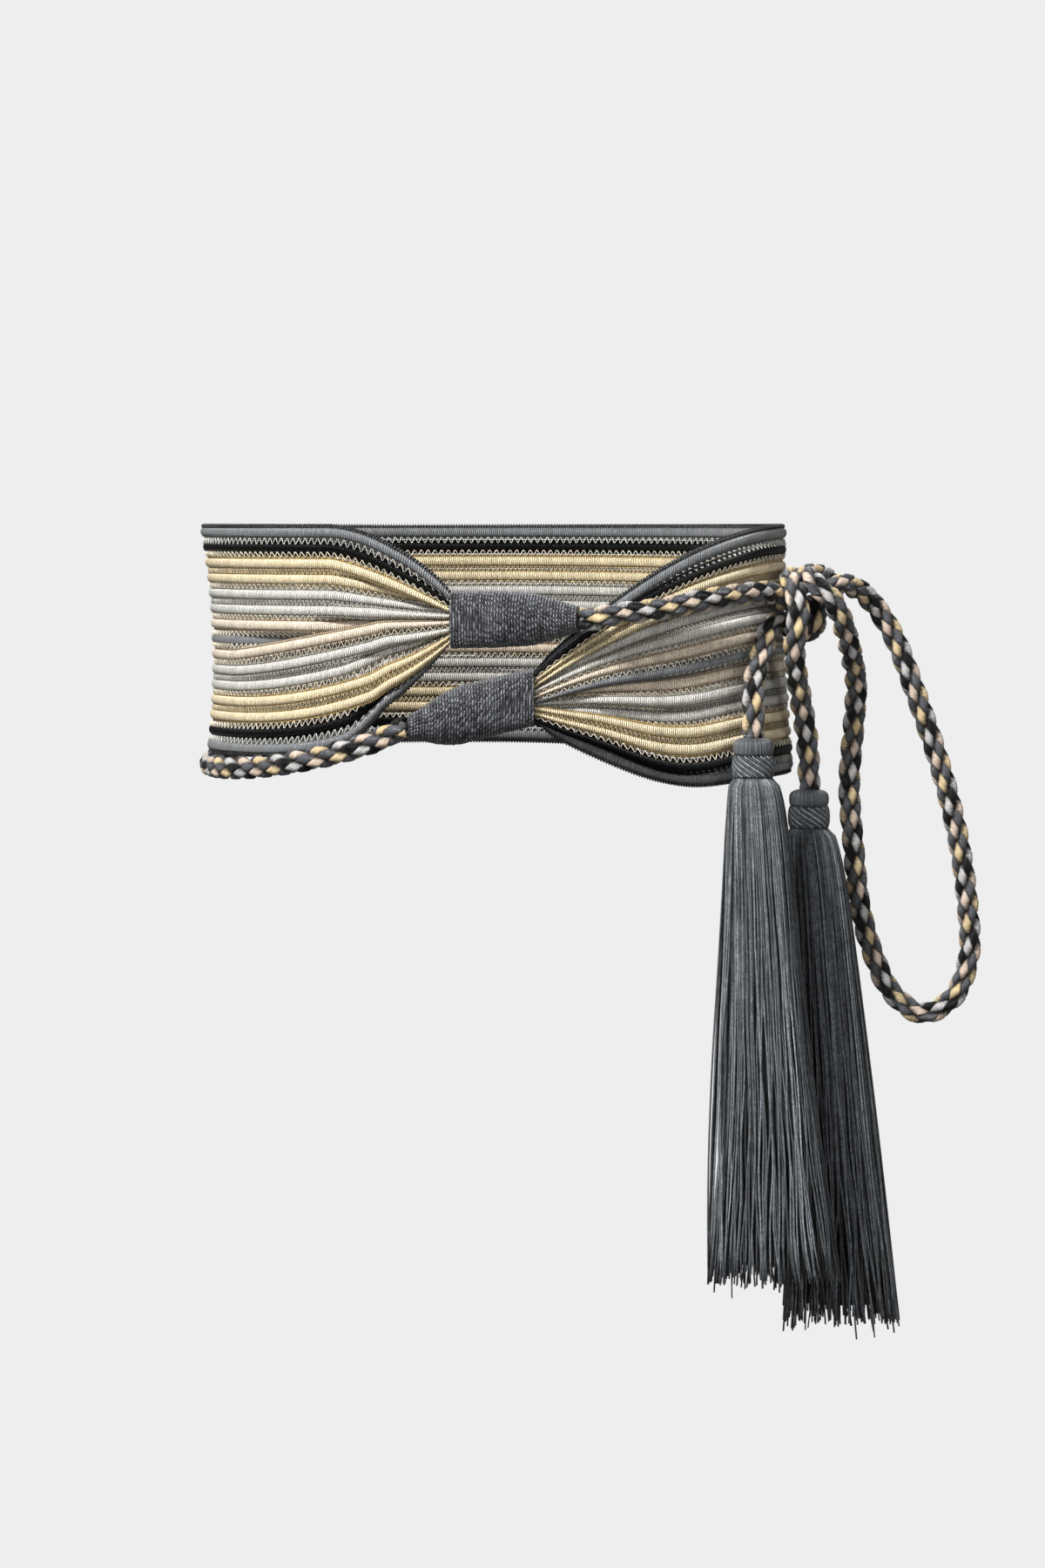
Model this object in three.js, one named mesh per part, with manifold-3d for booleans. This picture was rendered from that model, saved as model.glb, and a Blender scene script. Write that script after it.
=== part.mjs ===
// Waist sash: fifteen padded ribs wound in thread run side by side round the waist. At the front
// both ends are gathered into two layers and held in a thread-wound binding, and a laid cord
// leaves each binding. The cords meet in a half bow at the wearer's left hip and end in tassels.
// Millimetres. X to the right, Y away from the front, Z up, origin in the middle of the waist.
import * as THREE from 'three';
import { mergeVertices } from 'three/addons/utils/BufferGeometryUtils.js';
import Module from 'manifold-3d';

const wasm = await Module();
wasm.setup();

// Waist opening, measured to the middle of the ribs' thickness
const waistHalfWidth = 131.5;
const waistHalfDepth = 93;

// Ribs
const ribPitch = 6.9;
const ribThickness = 4.2;
const pieceGap = 0.3;
const tuckClearance = 0.2;
const nipDepth = 4;
const sideLean = 3;
const rightSide = { nip: 1.6, fullness: 1.7 };
const sideSpread = 0.09;
const flapSpread = 0.14;
const flapSpreadReach = 46;
const pleatRise = 14;

// Gathered ends
const mouthPitch = 2.3;
const mouthThickness = 5;
const ribsInBinding = 8;
const leftMouth = { reach: 18.3, height: 10.2 };
const rightMouth = { reach: 17.4, height: -24 };

// Bindings
const bindingWall = 1.7;
const bindingSocket = 9;
const mouthRoom = { height: 0.75, depth: 1.7 };
const upperBinding = { run: 55.2, outward: 8.6, climb: 0.3 };
const lowerBinding = { run: 54.6, outward: 5.5, climb: -13.2 };
const tipWall = 0.4;

// Cords
const cordDiameter = 10.6;
const knotSwell = 0.8;

// Tassels
const domeRadius = 8.9;
const domeHeight = 7;
const neckRadius = 7.6;
const neckHeight = 10.4;
const wrapThreads = 5;
const wrapRadius = 9.6;
const wrapThreadRise = 0.6;
const skirtTopRadius = 10.2;
const skirtLength = 233;
const skirtFlatness = 0.68;
const skirtShoulder = { rise: 3.5, length: 11.6 };
const skirtFlare = 1.35;
const skirtSwingPower = 0.7;
const lockCount = 12;
const lockGroove = 0.14;
const lockStagger = 2.5;
const footHollow = 0.6;

const colours = {
  slate: 0x5a6068,
  black: 0x17181c,
  gold: 0xcdb27a,
  silver: 0xa9a9a6,
  beige: 0xcbb5a3,
};

// One row for each rib from the top edge down. A layer is 0 for the outer layer of a gathered end
// and 1 for the layer tucked behind it. A row counts from the top of the mouth, in mouth pitches.
const ribs = [
  { colour: 'slate', leftLayer: 1, leftRow: 0.1, rightLayer: 1, rightRow: 0.4 },
  { colour: 'black', leftLayer: 0, leftRow: 1.1, rightLayer: 0, rightRow: 0 },
  { colour: 'gold', leftLayer: 0, leftRow: 2.4, rightLayer: 0, rightRow: 1 },
  { colour: 'gold', leftLayer: 1, leftRow: 1.6, rightLayer: 0, rightRow: 2 },
  { colour: 'silver', leftLayer: 1, leftRow: 2.7, rightLayer: 1, rightRow: 2.4 },
  { colour: 'silver', leftLayer: 0, leftRow: 3.4, rightLayer: 0, rightRow: 3 },
  { colour: 'beige', leftLayer: 1, leftRow: 3.8, rightLayer: 0, rightRow: 4 },
  { colour: 'slate', leftLayer: 1, leftRow: 4.8, rightLayer: 0, rightRow: 5 },
  { colour: 'beige', leftLayer: 0, leftRow: 4.6, rightLayer: 1, rightRow: 4.3 },
  { colour: 'silver', leftLayer: 0, leftRow: 5.9, rightLayer: 1, rightRow: 5.4 },
  { colour: 'silver', leftLayer: 1, leftRow: 5.8, rightLayer: 1, rightRow: 6.5 },
  { colour: 'gold', leftLayer: 0, leftRow: 7, rightLayer: 0, rightRow: 6 },
  { colour: 'gold', leftLayer: 0, leftRow: 8, rightLayer: 0, rightRow: 7 },
  { colour: 'black', leftLayer: 1, leftRow: 6.9, rightLayer: 0, rightRow: 8 },
  { colour: 'slate', leftLayer: 1, leftRow: 7.6, rightLayer: 1, rightRow: 7.6 },
];
const mouthRows = 9;
const bandHeight = ribs.length * ribPitch;
const tuckDepth = mouthThickness + pieceGap + tuckClearance;

// Shares of the waist's half width at which each change of the front flaps starts and ends
const pleatSpan = { start: 0.913, end: 0.357, upperPower: 1.1, lowerPower: 2.8 };
const upperGather = { start: 0.547, topPower: 1.8, innerPower: 0.9, fade: 2.5 };
const lowerGather = { start: 0.42, tuckedStart: 0.51, power: 1.5 };
const rightGather = { topPower: 1.65, bottomPower: 2.4 };

// Sag of the right flap's lower ribs: its span as above, depths in millimetres, and the ribs by
// their place in the table
const rightSag = { start: 0.28, end: 0.86, depth: 5, edgeDepth: 2, firstRib: 3, lastRib: 13 };

// Half height and half depth of a binding's base, round the ribs of its mouth
const bindingBase = {
  height: mouthRows * mouthPitch / 2 + mouthRoom.height + bindingWall,
  depth: (tuckDepth + mouthThickness) / 2 + mouthRoom.depth + bindingWall,
};

// Outline of a binding: share of its length, and half height and half depth as shares of the base
const upperOutline = [
  { along: 0, height: 1, depth: 1 },
  { along: 0.22, height: 0.985, depth: 1.05 },
  { along: 0.45, height: 0.96, depth: 1.05 },
  { along: 0.68, height: 0.87, depth: 0.98 },
  { along: 0.84, height: 0.66, depth: 0.84 },
];
const lowerOutline = [
  { along: 0, height: 1, depth: 1 },
  { along: 0.22, height: 1, depth: 1.07 },
  { along: 0.42, height: 1.01, depth: 1.12 },
  { along: 0.6, height: 1.01, depth: 1.09 },
  { along: 0.76, height: 0.83, depth: 0.95 },
  { along: 0.9, height: 0.56, depth: 0.77 },
];

// Outline of a tassel's dome: share of its height from the top and of its radius
const domeOutline = [
  { down: 0.4, radius: 0.94 },
  { down: 0.75, radius: 1 },
];

// Waist angle at which the finer steps of the left flap start
const leftFlapFoot = -68;

// Route of the upper cord: along the right flap, through the knot, round the loop, back through
// the knot and down to the front tassel
const upperRoute = [
  [37.8, -98.1, 10.5], [43, -98.9, 10.6], [49.3, -99.3, 11.6], [56.7, -95.8, 12.9],
  [71.2, -90, 14.5], [91.4, -80.5, 18.2], [112.3, -65.2, 21.1], [124.5, -47.5, 21.2],
  [129.5, -38.5, 18.2], [134.5, -29.5, 15.3], [141, -20.5, 14.5], [148.5, -12, 16.5],
  [153.5, -8, 22], [152.5, -10.5, 26.5], [147.5, -20, 28.8], [142, -31, 29], [142, -41, 27.3],
  [146, -47.5, 23.5], [151, -48, 18.6], [154.9, -44.5, 12.4], [157.5, -39.5, 6],
  [159.8, -33.5, -0.4], [162, -25.5, -8], [164.8, -14.5, -20.6], [164.4, -6, -38.8],
  [162.7, -2, -66.9], [164.8, 0, -95.1], [168.1, 2, -123.2], [174.2, 3, -145.3],
  [183.1, 4, -163.4], [197.1, 4, -173.1], [211.2, 4, -165.8], [218.3, 3, -147.3],
  [217.6, 2, -123.2], [213.6, 1, -95.1], [205.8, 0, -63.1], [193.6, -2, -27], [182.6, -4, 1],
  [173.2, -8, 15.4], [165, -16, 22.6], [157.1, -25.5, 24.6], [150.7, -32.5, 21.6],
  [146.6, -34.6, 15], [145.1, -34.4, 7.6], [142.6, -31, 4.5], [137.8, -31, 3.5],
  [132.5, -35.5, 6.2], [127.8, -41.5, 8], [123.6, -48, 4.5], [121.2, -52.5, -1.5],
  [118.6, -57, -8.5], [116.4, -61, -16.5], [115.6, -65.8, -26], [115.5, -67.4, -35.5],
  [115.5, -67.6, -43.3],
];
const upperMarks = { knotIn: 7, knotTop: 14, loopOut: 22, loopIn: 39, tailOut: 48 };

// Route of the lower cord: under the left flap, round the left side and the back, over the knot
// and down to the rear tassel
const lowerRoute = [
  [-38.9, -95.1, -37.6], [-42.6, -95.2, -38.5], [-49.4, -91.9, -42.2], [-65.8, -86.8, -47.8],
  [-86.7, -77.5, -52.8], [-106.5, -60.6, -56.2], [-121, -40.8, -57.4], [-128.6, -17.5, -57.6],
  [-129.5, 0, -57.9], [-131, 17.5, -57.4], [-125.5, 38, -54.8], [-112.8, 58.8, -46.5],
  [-87.6, 77.2, -36], [-56.8, 89.6, -27], [-23.4, 96.8, -19], [11.7, 97.5, -11],
  [46.1, 92.3, -4], [77.8, 81.6, 3], [105.1, 65.8, 9.5], [125.3, 49.1, 16], [137.9, 30.1, 21.5],
  [141.5, 9, 25], [139, -10, 27], [135.2, -25, 27.6], [133.5, -38, 27.3], [135, -48.5, 22.5],
  [136.2, -52.5, 13.5], [135.5, -52.3, 5], [134.6, -49.5, -3], [135.2, -44, -11],
  [138.2, -34.5, -25.5], [141.9, -25, -45.9], [143, -21.4, -60], [143.1, -21, -68.7],
];
const lowerMarks = { knotIn: 21, tailOut: 29 };

// One row for each tassel: how far its foot swings to the right, and its half width there
const tassels = [
  { name: 'tassel_front', swing: 10, footRadius: 31 },
  { name: 'tassel_rear', swing: 16, footRadius: 28 },
];

// Shares of the skirt's length at which its sections lie, and the repeating order of lock ends
const skirtStops = [0.008, 0.06, 0.3, 0.65, 0.98];
const lockEnds = [0, 1, 2];

const degrees = Math.PI / 180;
const clamp = (value) => Math.min(1, Math.max(0, value));
const mix = (from, to, share) => from + (to - from) * share;
const smooth = (share) => clamp(share) ** 2 * (3 - 2 * clamp(share));

// Waist angle in degrees: 0 at the front, -90 at the left side, -180 at the back, -270 at the right
function waistPoint(angle) {
  const turn = angle * degrees;
  return new THREE.Vector3(waistHalfWidth * Math.sin(turn), -waistHalfDepth * Math.cos(turn), 0);
}

function outward(angle) {
  const turn = angle * degrees;
  return new THREE.Vector3(
    waistHalfDepth * Math.sin(turn), -waistHalfWidth * Math.cos(turn), 0).normalize();
}

const leftEnd = -Math.asin(leftMouth.reach / waistHalfWidth) / degrees;
const rightEnd = -360 + Math.asin(rightMouth.reach / waistHalfWidth) / degrees;

// How far round a flap an angle is: share of the half width, 1 at the side and 0 at the front
const frontShare = (angle) => Math.abs(Math.sin(angle * degrees));
const onLeftFlap = (angle) => angle > -90;
const onRightFlap = (angle) => angle < -270;

function mouthHeight(mouth, row) {
  return mouth.height + ((mouthRows - 1) / 2 - row) * mouthPitch;
}

function ringHeight(index, angle) {
  const fromTop = (index + 0.5) * ribPitch;
  const side = sideSpread * smooth((-180 - angle) / 90);
  const forward = onRightFlap(angle) ? (1 - frontShare(angle)) * waistHalfWidth : 0;
  const flap = (flapSpread - sideSpread) * smooth(forward / flapSpreadReach);
  return bandHeight / 2 - fromTop * (1 + side + flap);
}

// How far a rib below the middle one is on the way from it to the last, from 0 to 1
function lowness(index) {
  const middle = Math.floor((ribs.length - 1) / 2);
  return clamp((index - middle - 1) / (ribs.length - 2 - middle));
}

function pleatHeight(index, share) {
  const power = mix(pleatSpan.upperPower, pleatSpan.lowerPower, lowness(index));
  return pleatRise * clamp((pleatSpan.start - share) / (pleatSpan.start - pleatSpan.end)) ** power;
}

function upperGathering(index, share, mouthShare) {
  const toTop = clamp(1 - index / Math.floor((ribs.length - 1) / 2)) ** upperGather.fade;
  const power = mix(upperGather.innerPower, upperGather.topPower, toTop);
  return clamp((upperGather.start - share) / (upperGather.start - mouthShare)) ** power;
}

function lowerGathering(index, share, mouthShare) {
  const start = ribs[index].leftLayer === 1 ? lowerGather.tuckedStart : lowerGather.start;
  return clamp((start - share) / (start - mouthShare)) ** lowerGather.power;
}

function leftHeight(index, angle) {
  const share = frontShare(angle);
  const mouthShare = leftMouth.reach / waistHalfWidth;
  const upper = index < ribs.length / 2;
  const flat = ringHeight(index, angle) + (upper ? 0 : pleatHeight(index, share));
  const gathering = upper ? upperGathering : lowerGathering;
  return mix(flat, mouthHeight(leftMouth, ribs[index].leftRow), gathering(index, share, mouthShare));
}

function sagDepth(index, share) {
  const along = clamp((share - rightSag.start) / (rightSag.end - rightSag.start));
  const down = clamp((index - rightSag.firstRib) / (rightSag.lastRib - rightSag.firstRib));
  const depth = index > rightSag.lastRib ? rightSag.edgeDepth : rightSag.depth * down;
  return depth * Math.sin(Math.PI * along) ** 2;
}

function rightHeight(index, angle) {
  const share = frontShare(angle);
  const mouthShare = rightMouth.reach / waistHalfWidth;
  const power = mix(rightGather.topPower, rightGather.bottomPower, index / (ribs.length - 1));
  const gather = clamp((1 - share) / (1 - mouthShare)) ** power;
  const hung = ringHeight(index, angle) - sagDepth(index, share);
  return mix(hung, mouthHeight(rightMouth, ribs[index].rightRow), gather);
}

function ribHeight(index, angle) {
  if (onLeftFlap(angle)) return leftHeight(index, angle);
  if (onRightFlap(angle)) return rightHeight(index, angle);
  return ringHeight(index, angle);
}

// Centres, half widths and depths of all the ribs at one angle. A rib of the tucked layer goes in
// as far as the ribs that slide over it need, and neighbours in one layer share their spacing.
function ribStation(angle) {
  const heights = ribs.map((rib, index) => ribHeight(index, angle));
  const layers = ribs.map((rib) => (onLeftFlap(angle) ? rib.leftLayer : rib.rightLayer));
  const flat = Math.abs(ringHeight(1, angle) - ringHeight(0, angle));
  return ribs.map((rib, index) => {
    const spacings = heights
      .filter((height, other) => other !== index && layers[other] === layers[index])
      .map((height) => Math.abs(height - heights[index]));
    const crowding = heights
      .filter((height, other) => layers[other] !== layers[index])
      .map((height) => Math.abs(height - heights[index]));
    const width = Math.min(flat, ...spacings) - pieceGap;
    const pinch = clamp((flat - pieceGap - width) / (flat - mouthPitch));
    const tucked = Math.sqrt(1 - clamp(Math.min(...crowding) / flat) ** 2);
    return {
      height: heights[index],
      halfWidth: width / 2,
      halfThickness: mix(ribThickness, mouthThickness, pinch) / 2,
      depth: layers[index] * tuckDepth * tucked,
    };
  });
}

// A point of the band's surface, given its height and how far it stands out of the waist line
function bandPoint(angle, height, out) {
  const side = frontShare(angle);
  const hug = onLeftFlap(angle) || onRightFlap(angle) ? side : 1;
  const toRight = smooth((-180 - angle) / 90);
  const deepest = mix(nipDepth, rightSide.nip, toRight) * hug;
  const nip = deepest * (1 - clamp(Math.abs(2 * height / bandHeight)) ** 2);
  const full = rightSide.fullness * smooth(side) * toRight;
  const point = waistPoint(angle).addScaledVector(outward(angle), out - nip + full);
  point.x -= sideLean * side * height / bandHeight;
  point.z = height;
  return point;
}

// Six-sided padded section of a rib, flat on the outer and inner faces
const ribSection = [[1, 0], [0.5, 1], [-0.5, 1], [-1, 0], [-0.5, -1], [0.5, -1]];

function ribRing(angle, station) {
  return ribSection.map(([up, out]) => bandPoint(
    angle, station.height + up * station.halfWidth, out * station.halfThickness - station.depth));
}

function angleStops() {
  const spans = [
    { from: leftEnd, to: leftFlapFoot, steps: 9 },
    { from: leftFlapFoot, to: -270, steps: 12 },
    { from: -270, to: rightEnd, steps: 11 },
  ];
  const stops = [leftEnd];
  for (const span of spans) {
    for (let step = 1; step <= span.steps; step += 1) {
      stops.push(mix(span.from, span.to, step / span.steps));
    }
  }
  return stops;
}

function middleOf(ring) {
  const sum = ring.reduce((total, point) => total.add(point), new THREE.Vector3());
  return sum.divideScalar(ring.length);
}

// Closed body through rings of equally many points, with a fan round the middle of each end
function loft(rings) {
  const count = rings[0].length;
  const ends = [middleOf(rings[0]), middleOf(rings[rings.length - 1])];
  const positions = [...rings.flat(), ...ends].flatMap((point) => point.toArray());
  const faces = [];
  for (let ring = 0; ring + 1 < rings.length; ring += 1) {
    for (let side = 0; side < count; side += 1) {
      const a = ring * count + side;
      const b = ring * count + (side + 1) % count;
      faces.push(a, b, a + count, b, b + count, a + count);
    }
  }
  const last = (rings.length - 1) * count;
  const middle = rings.length * count;
  for (let side = 0; side < count; side += 1) {
    const next = (side + 1) % count;
    faces.push(middle, next, side);
    faces.push(middle + 1, last + side, last + next);
  }
  const geometry = new THREE.BufferGeometry();
  geometry.setAttribute('position', new THREE.Float32BufferAttribute(positions, 3));
  geometry.setIndex(faces);
  return turnedOut(geometry);
}

// Faces of a closed body point outwards when its signed volume is positive
function turnedOut(geometry) {
  const index = geometry.getIndex();
  const position = geometry.getAttribute('position');
  const corner = (at) => new THREE.Vector3().fromBufferAttribute(position, index.getX(at));
  let volume = 0;
  for (let face = 0; face < index.count; face += 3) {
    volume += corner(face).dot(corner(face + 1).cross(corner(face + 2)));
  }
  if (volume < 0) {
    for (let face = 0; face < index.count; face += 3) {
      const second = index.getX(face + 1);
      index.setX(face + 1, index.getX(face + 2));
      index.setX(face + 2, second);
    }
  }
  geometry.computeVertexNormals();
  return geometry;
}

// Axis of a binding: from the middle of its mouth, inside the waist line by half the tuck
function bindingAxis(mouth, angle, binding, heading) {
  const start = waistPoint(angle).addScaledVector(outward(angle), -tuckDepth / 2);
  start.z = mouth.height;
  const run = new THREE.Vector3(heading * binding.run, -binding.outward, binding.climb);
  return { start, run, out: new THREE.Vector3(-run.y, run.x, 0).normalize().multiplyScalar(-heading) };
}

const upperAxis = bindingAxis(leftMouth, leftEnd, upperBinding, 1);
const lowerAxis = bindingAxis(rightMouth, rightEnd, lowerBinding, -1);

function ribGeometry(index) {
  const stops = angleStops();
  const rings = stops.map((angle) => ribRing(angle, ribStation(angle)[index]));
  const along = (ring, axis) => {
    const step = axis.run.clone().normalize().multiplyScalar(ribsInBinding);
    return ring.map((point) => point.clone().add(step));
  };
  return loft([along(rings[0], upperAxis), ...rings, along(rings[rings.length - 1], lowerAxis)]);
}

// Rounded rectangle whose corners grow rounder as the power falls to 2
function roundedRing(axis, share, halfHeight, halfDepth, power) {
  const sides = 20;
  const bulge = (value) => Math.sign(value) * Math.abs(value) ** (2 / power);
  const ring = [];
  for (let side = 0; side < sides; side += 1) {
    const turn = 2 * Math.PI * side / sides;
    const point = axis.start.clone().addScaledVector(axis.run, share);
    point.addScaledVector(axis.out, halfDepth * bulge(Math.cos(turn)));
    point.z += halfHeight * bulge(Math.sin(turn));
    ring.push(point);
  }
  return ring;
}

// Sleeve of a binding: closed tip, outer wall back to the base, and the socket for the rib ends
function bindingGeometry(axis, outline) {
  const basePower = 4;
  const tip = cordDiameter / 2 + tipWall;
  const socketShare = bindingSocket / axis.run.length();
  const outer = outline.map((row) => roundedRing(
    axis, row.along, row.height * bindingBase.height, row.depth * bindingBase.depth,
    mix(basePower, 2, clamp(2 * row.along))));
  const inner = [0, socketShare].map((share) => roundedRing(
    axis, share, bindingBase.height - bindingWall, bindingBase.depth - bindingWall, basePower));
  return loft([roundedRing(axis, 1, tip, tip, 2), ...outer.reverse(), ...inner]);
}

// Stretch of a cord's route between two shares of its length
class Stretch extends THREE.Curve {
  constructor(route, from, to) {
    super();
    this.route = route;
    this.from = from;
    this.to = to;
  }

  getPoint(share, target = new THREE.Vector3()) {
    return target.copy(this.route.getPointAt(mix(this.from, this.to, share)));
  }
}

function cordRoute(points) {
  const route = new THREE.CatmullRomCurve3(
    points.map((point) => new THREE.Vector3(...point)), false, 'centripetal');
  route.arcLengthDivisions = 2000;
  return route;
}

// Share of a route's length at each of its points
function shareAt(route, mark) {
  const divisions = 40;
  const lengths = route.getLengths(divisions * (route.points.length - 1));
  const share = lengths[mark * divisions] / lengths[lengths.length - 1];
  route.needsUpdate = true;
  route.getLengths(route.arcLengthDivisions);
  return share;
}

function tubeGeometry(curve, diameter, steps) {
  const sides = 8;
  const corners = [];
  for (let side = 0; side < sides; side += 1) {
    const turn = 2 * Math.PI * side / sides;
    corners.push(new THREE.Vector2(diameter / 2 * Math.cos(turn), diameter / 2 * Math.sin(turn)));
  }
  return new THREE.ExtrudeGeometry(
    new THREE.Shape(corners), { steps, bevelEnabled: false, extrudePath: curve });
}

function solid(geometry) {
  const bare = geometry.clone();
  bare.deleteAttribute('normal');
  bare.deleteAttribute('uv');
  const merged = mergeVertices(bare, 1e-4);
  return new wasm.Manifold(new wasm.Mesh({
    numProp: 3,
    vertProperties: new Float32Array(merged.getAttribute('position').array),
    triVerts: new Uint32Array(merged.getIndex().array),
  }));
}

function geometryOf(manifold) {
  const mesh = manifold.getMesh();
  const geometry = new THREE.BufferGeometry();
  geometry.setAttribute('position', new THREE.Float32BufferAttribute(mesh.vertProperties, 3));
  geometry.setIndex([...mesh.triVerts]);
  geometry.computeVertexNormals();
  return geometry;
}

function fused(geometries) {
  return geometryOf(geometries.map(solid).reduce((whole, piece) => whole.add(piece)));
}

// A cord between two marks, cut back at each end by half of the gap between pieces. A negative
// cut carries it past the mark instead.
const endCut = pieceGap / 2;

function cordStretch(route, marks, steps, cuts = [endCut, endCut], diameter = cordDiameter) {
  const from = shareAt(route, marks[0]) + cuts[0] / route.getLength();
  const to = shareAt(route, marks[1]) - cuts[1] / route.getLength();
  return tubeGeometry(new Stretch(route, from, to), diameter, steps);
}

const upperCord = cordRoute(upperRoute);
const lowerCord = cordRoute(lowerRoute);

// The knot: the passes of both cords, pulled tight enough to press on each other
function knotGeometry() {
  const swollen = cordDiameter + knotSwell;
  const joined = -1;
  const { knotIn, knotTop, loopOut, loopIn, tailOut } = upperMarks;
  return fused([
    cordStretch(upperCord, [knotIn, knotTop], 6, [endCut, joined], swollen),
    cordStretch(upperCord, [knotTop, loopOut], 6, [joined, endCut], swollen),
    cordStretch(upperCord, [loopIn, tailOut], 8, [endCut, endCut], swollen),
    cordStretch(lowerCord, [lowerMarks.knotIn, lowerMarks.tailOut], 7, [endCut, endCut], swollen),
  ]);
}

// Half width of the skirt at a share of its length from the neck
function skirtRadius(row, share) {
  const shoulder = 1 - Math.exp(-share * skirtLength / skirtShoulder.length);
  const spread = row.footRadius - skirtTopRadius - skirtShoulder.rise;
  return skirtTopRadius + skirtShoulder.rise * shoulder + spread * share ** skirtFlare;
}

// One level of a tassel. Each lock takes three corners: a groove and the two edges of its face.
// The groove is a share of the radius, and the locks' ends are staggered at the foot.
function tasselRing(row, level) {
  const cornersInLock = 3;
  const ring = [];
  for (let corner = 0; corner < lockCount * cornersInLock; corner += 1) {
    const turn = 2 * Math.PI * corner / (lockCount * cornersInLock);
    const radius = level.radius * (corner % cornersInLock === 0 ? 1 - level.groove : 1);
    const stagger = level.stagger * (Math.floor(corner / cornersInLock) % lockEnds.length);
    const flatness = mix(1, skirtFlatness, smooth(3 * level.share));
    ring.push(new THREE.Vector3(
      row.swing * level.share ** skirtSwingPower + radius * Math.cos(turn),
      radius * flatness * Math.sin(turn),
      level.z + (corner % cornersInLock === 0 ? level.stagger * 2 : 0) + stagger));
  }
  return ring;
}

// Dome, neck and skirt of a tassel, hanging from the end of its cord
function tasselGeometry(top, row) {
  const neckTop = -domeHeight;
  const neckFoot = neckTop - neckHeight;
  const plain = { share: 0, groove: 0, stagger: 0 };
  const levels = [
    { ...plain, radius: cordDiameter / 2, z: -pieceGap },
    ...domeOutline.map((row) => ({ ...plain, radius: domeRadius * row.radius, z: neckTop * row.down })),
    { ...plain, radius: neckRadius, z: neckTop },
    { ...plain, radius: neckRadius, z: neckFoot },
  ];
  for (const share of skirtStops) {
    const radius = skirtRadius(row, share);
    levels.push({ share, radius, groove: lockGroove, stagger: 0, z: neckFoot - skirtLength * share });
  }
  const foot = levels[levels.length - 1];
  foot.stagger = lockStagger;
  levels.push({ ...foot, radius: foot.radius * footHollow, groove: 0, z: foot.z + lockStagger * 2 });
  const geometry = loft(levels.map((level) => tasselRing(row, level)));
  return geometry.translate(top.x, top.y, top.z);
}

// Ring of thread turns round a tassel's neck
function wrapGeometry(top) {
  const high = -domeHeight - pieceGap;
  const low = -domeHeight - neckHeight + pieceGap;
  const inner = neckRadius + pieceGap;
  const outer = wrapRadius - wrapThreadRise;
  const profile = [new THREE.Vector2(inner, high), new THREE.Vector2(inner, low)];
  for (let thread = 0; thread < wrapThreads; thread += 1) {
    const foot = mix(low, high, thread / wrapThreads);
    const next = mix(low, high, (thread + 1) / wrapThreads);
    profile.push(new THREE.Vector2(outer, foot));
    profile.push(new THREE.Vector2(wrapRadius, mix(foot, next, 0.5)));
  }
  profile.push(new THREE.Vector2(outer, high), new THREE.Vector2(inner, high));
  const geometry = new THREE.LatheGeometry(profile, 16);
  return geometry.rotateX(Math.PI / 2).translate(top.x, top.y, top.z);
}

const sash = new THREE.Group();

function place(name, geometry, colour) {
  const material = new THREE.MeshStandardMaterial(
    { color: colours[colour], roughness: 0.6, metalness: 0 });
  const mesh = new THREE.Mesh(geometry, material);
  mesh.name = name;
  sash.add(mesh);
}

ribs.forEach((rib, index) => {
  place(`rib_${String(index + 1).padStart(2, '0')}_${rib.colour}`, ribGeometry(index), rib.colour);
});
place('binding_upper', bindingGeometry(upperAxis, upperOutline), 'slate');
place('binding_lower', bindingGeometry(lowerAxis, lowerOutline), 'slate');

const upperEnd = upperRoute.length - 1;
const lowerEnd = lowerRoute.length - 1;
const tasselTops = [upperRoute[upperEnd], lowerRoute[lowerEnd]].map((top) => new THREE.Vector3(...top));
place('cord_front_run', cordStretch(upperCord, [0, upperMarks.knotIn], 9), 'gold');
place('cord_back_run', cordStretch(lowerCord, [0, lowerMarks.knotIn], 26), 'gold');
place('cord_loop', cordStretch(upperCord, [upperMarks.loopOut, upperMarks.loopIn], 26), 'gold');
place('cord_tail_front', cordStretch(upperCord, [upperMarks.tailOut, upperEnd], 5), 'gold');
place('cord_tail_rear', cordStretch(lowerCord, [lowerMarks.tailOut, lowerEnd], 5), 'gold');
place('knot', knotGeometry(), 'gold');

tassels.forEach((row, index) => {
  place(row.name, tasselGeometry(tasselTops[index], row), 'slate');
  place(`${row.name}_wrap`, wrapGeometry(tasselTops[index]), 'slate');
});

export default sash;
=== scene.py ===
import math
from functools import partialmethod

import bpy
import numpy as np
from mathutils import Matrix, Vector


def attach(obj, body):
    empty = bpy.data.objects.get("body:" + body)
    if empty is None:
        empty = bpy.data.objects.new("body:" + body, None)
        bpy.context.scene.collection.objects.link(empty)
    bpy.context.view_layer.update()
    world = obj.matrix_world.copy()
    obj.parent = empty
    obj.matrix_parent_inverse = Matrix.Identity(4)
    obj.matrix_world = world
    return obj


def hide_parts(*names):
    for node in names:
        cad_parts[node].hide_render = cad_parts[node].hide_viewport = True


BODY = "root"

# Waist opening, measured to the middle of the ribs' thickness
WAIST_HALF_WIDTH = 0.1315
WAIST_HALF_DEPTH = 0.093

# Ribs
RIB_PITCH = 0.0069
RIB_THICKNESS = 0.0042
PIECE_GAP = 0.0003
TUCK_CLEARANCE = 0.0002
NIP_DEPTH = 0.004
SIDE_LEAN = 0.003
RIGHT_SIDE = {"nip": 0.0016, "fullness": 0.0017}
SIDE_SPREAD = 0.09
FLAP_SPREAD = 0.14
FLAP_SPREAD_REACH = 0.046
PLEAT_RISE = 0.014
RIB_STEP = 0.0034

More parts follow.
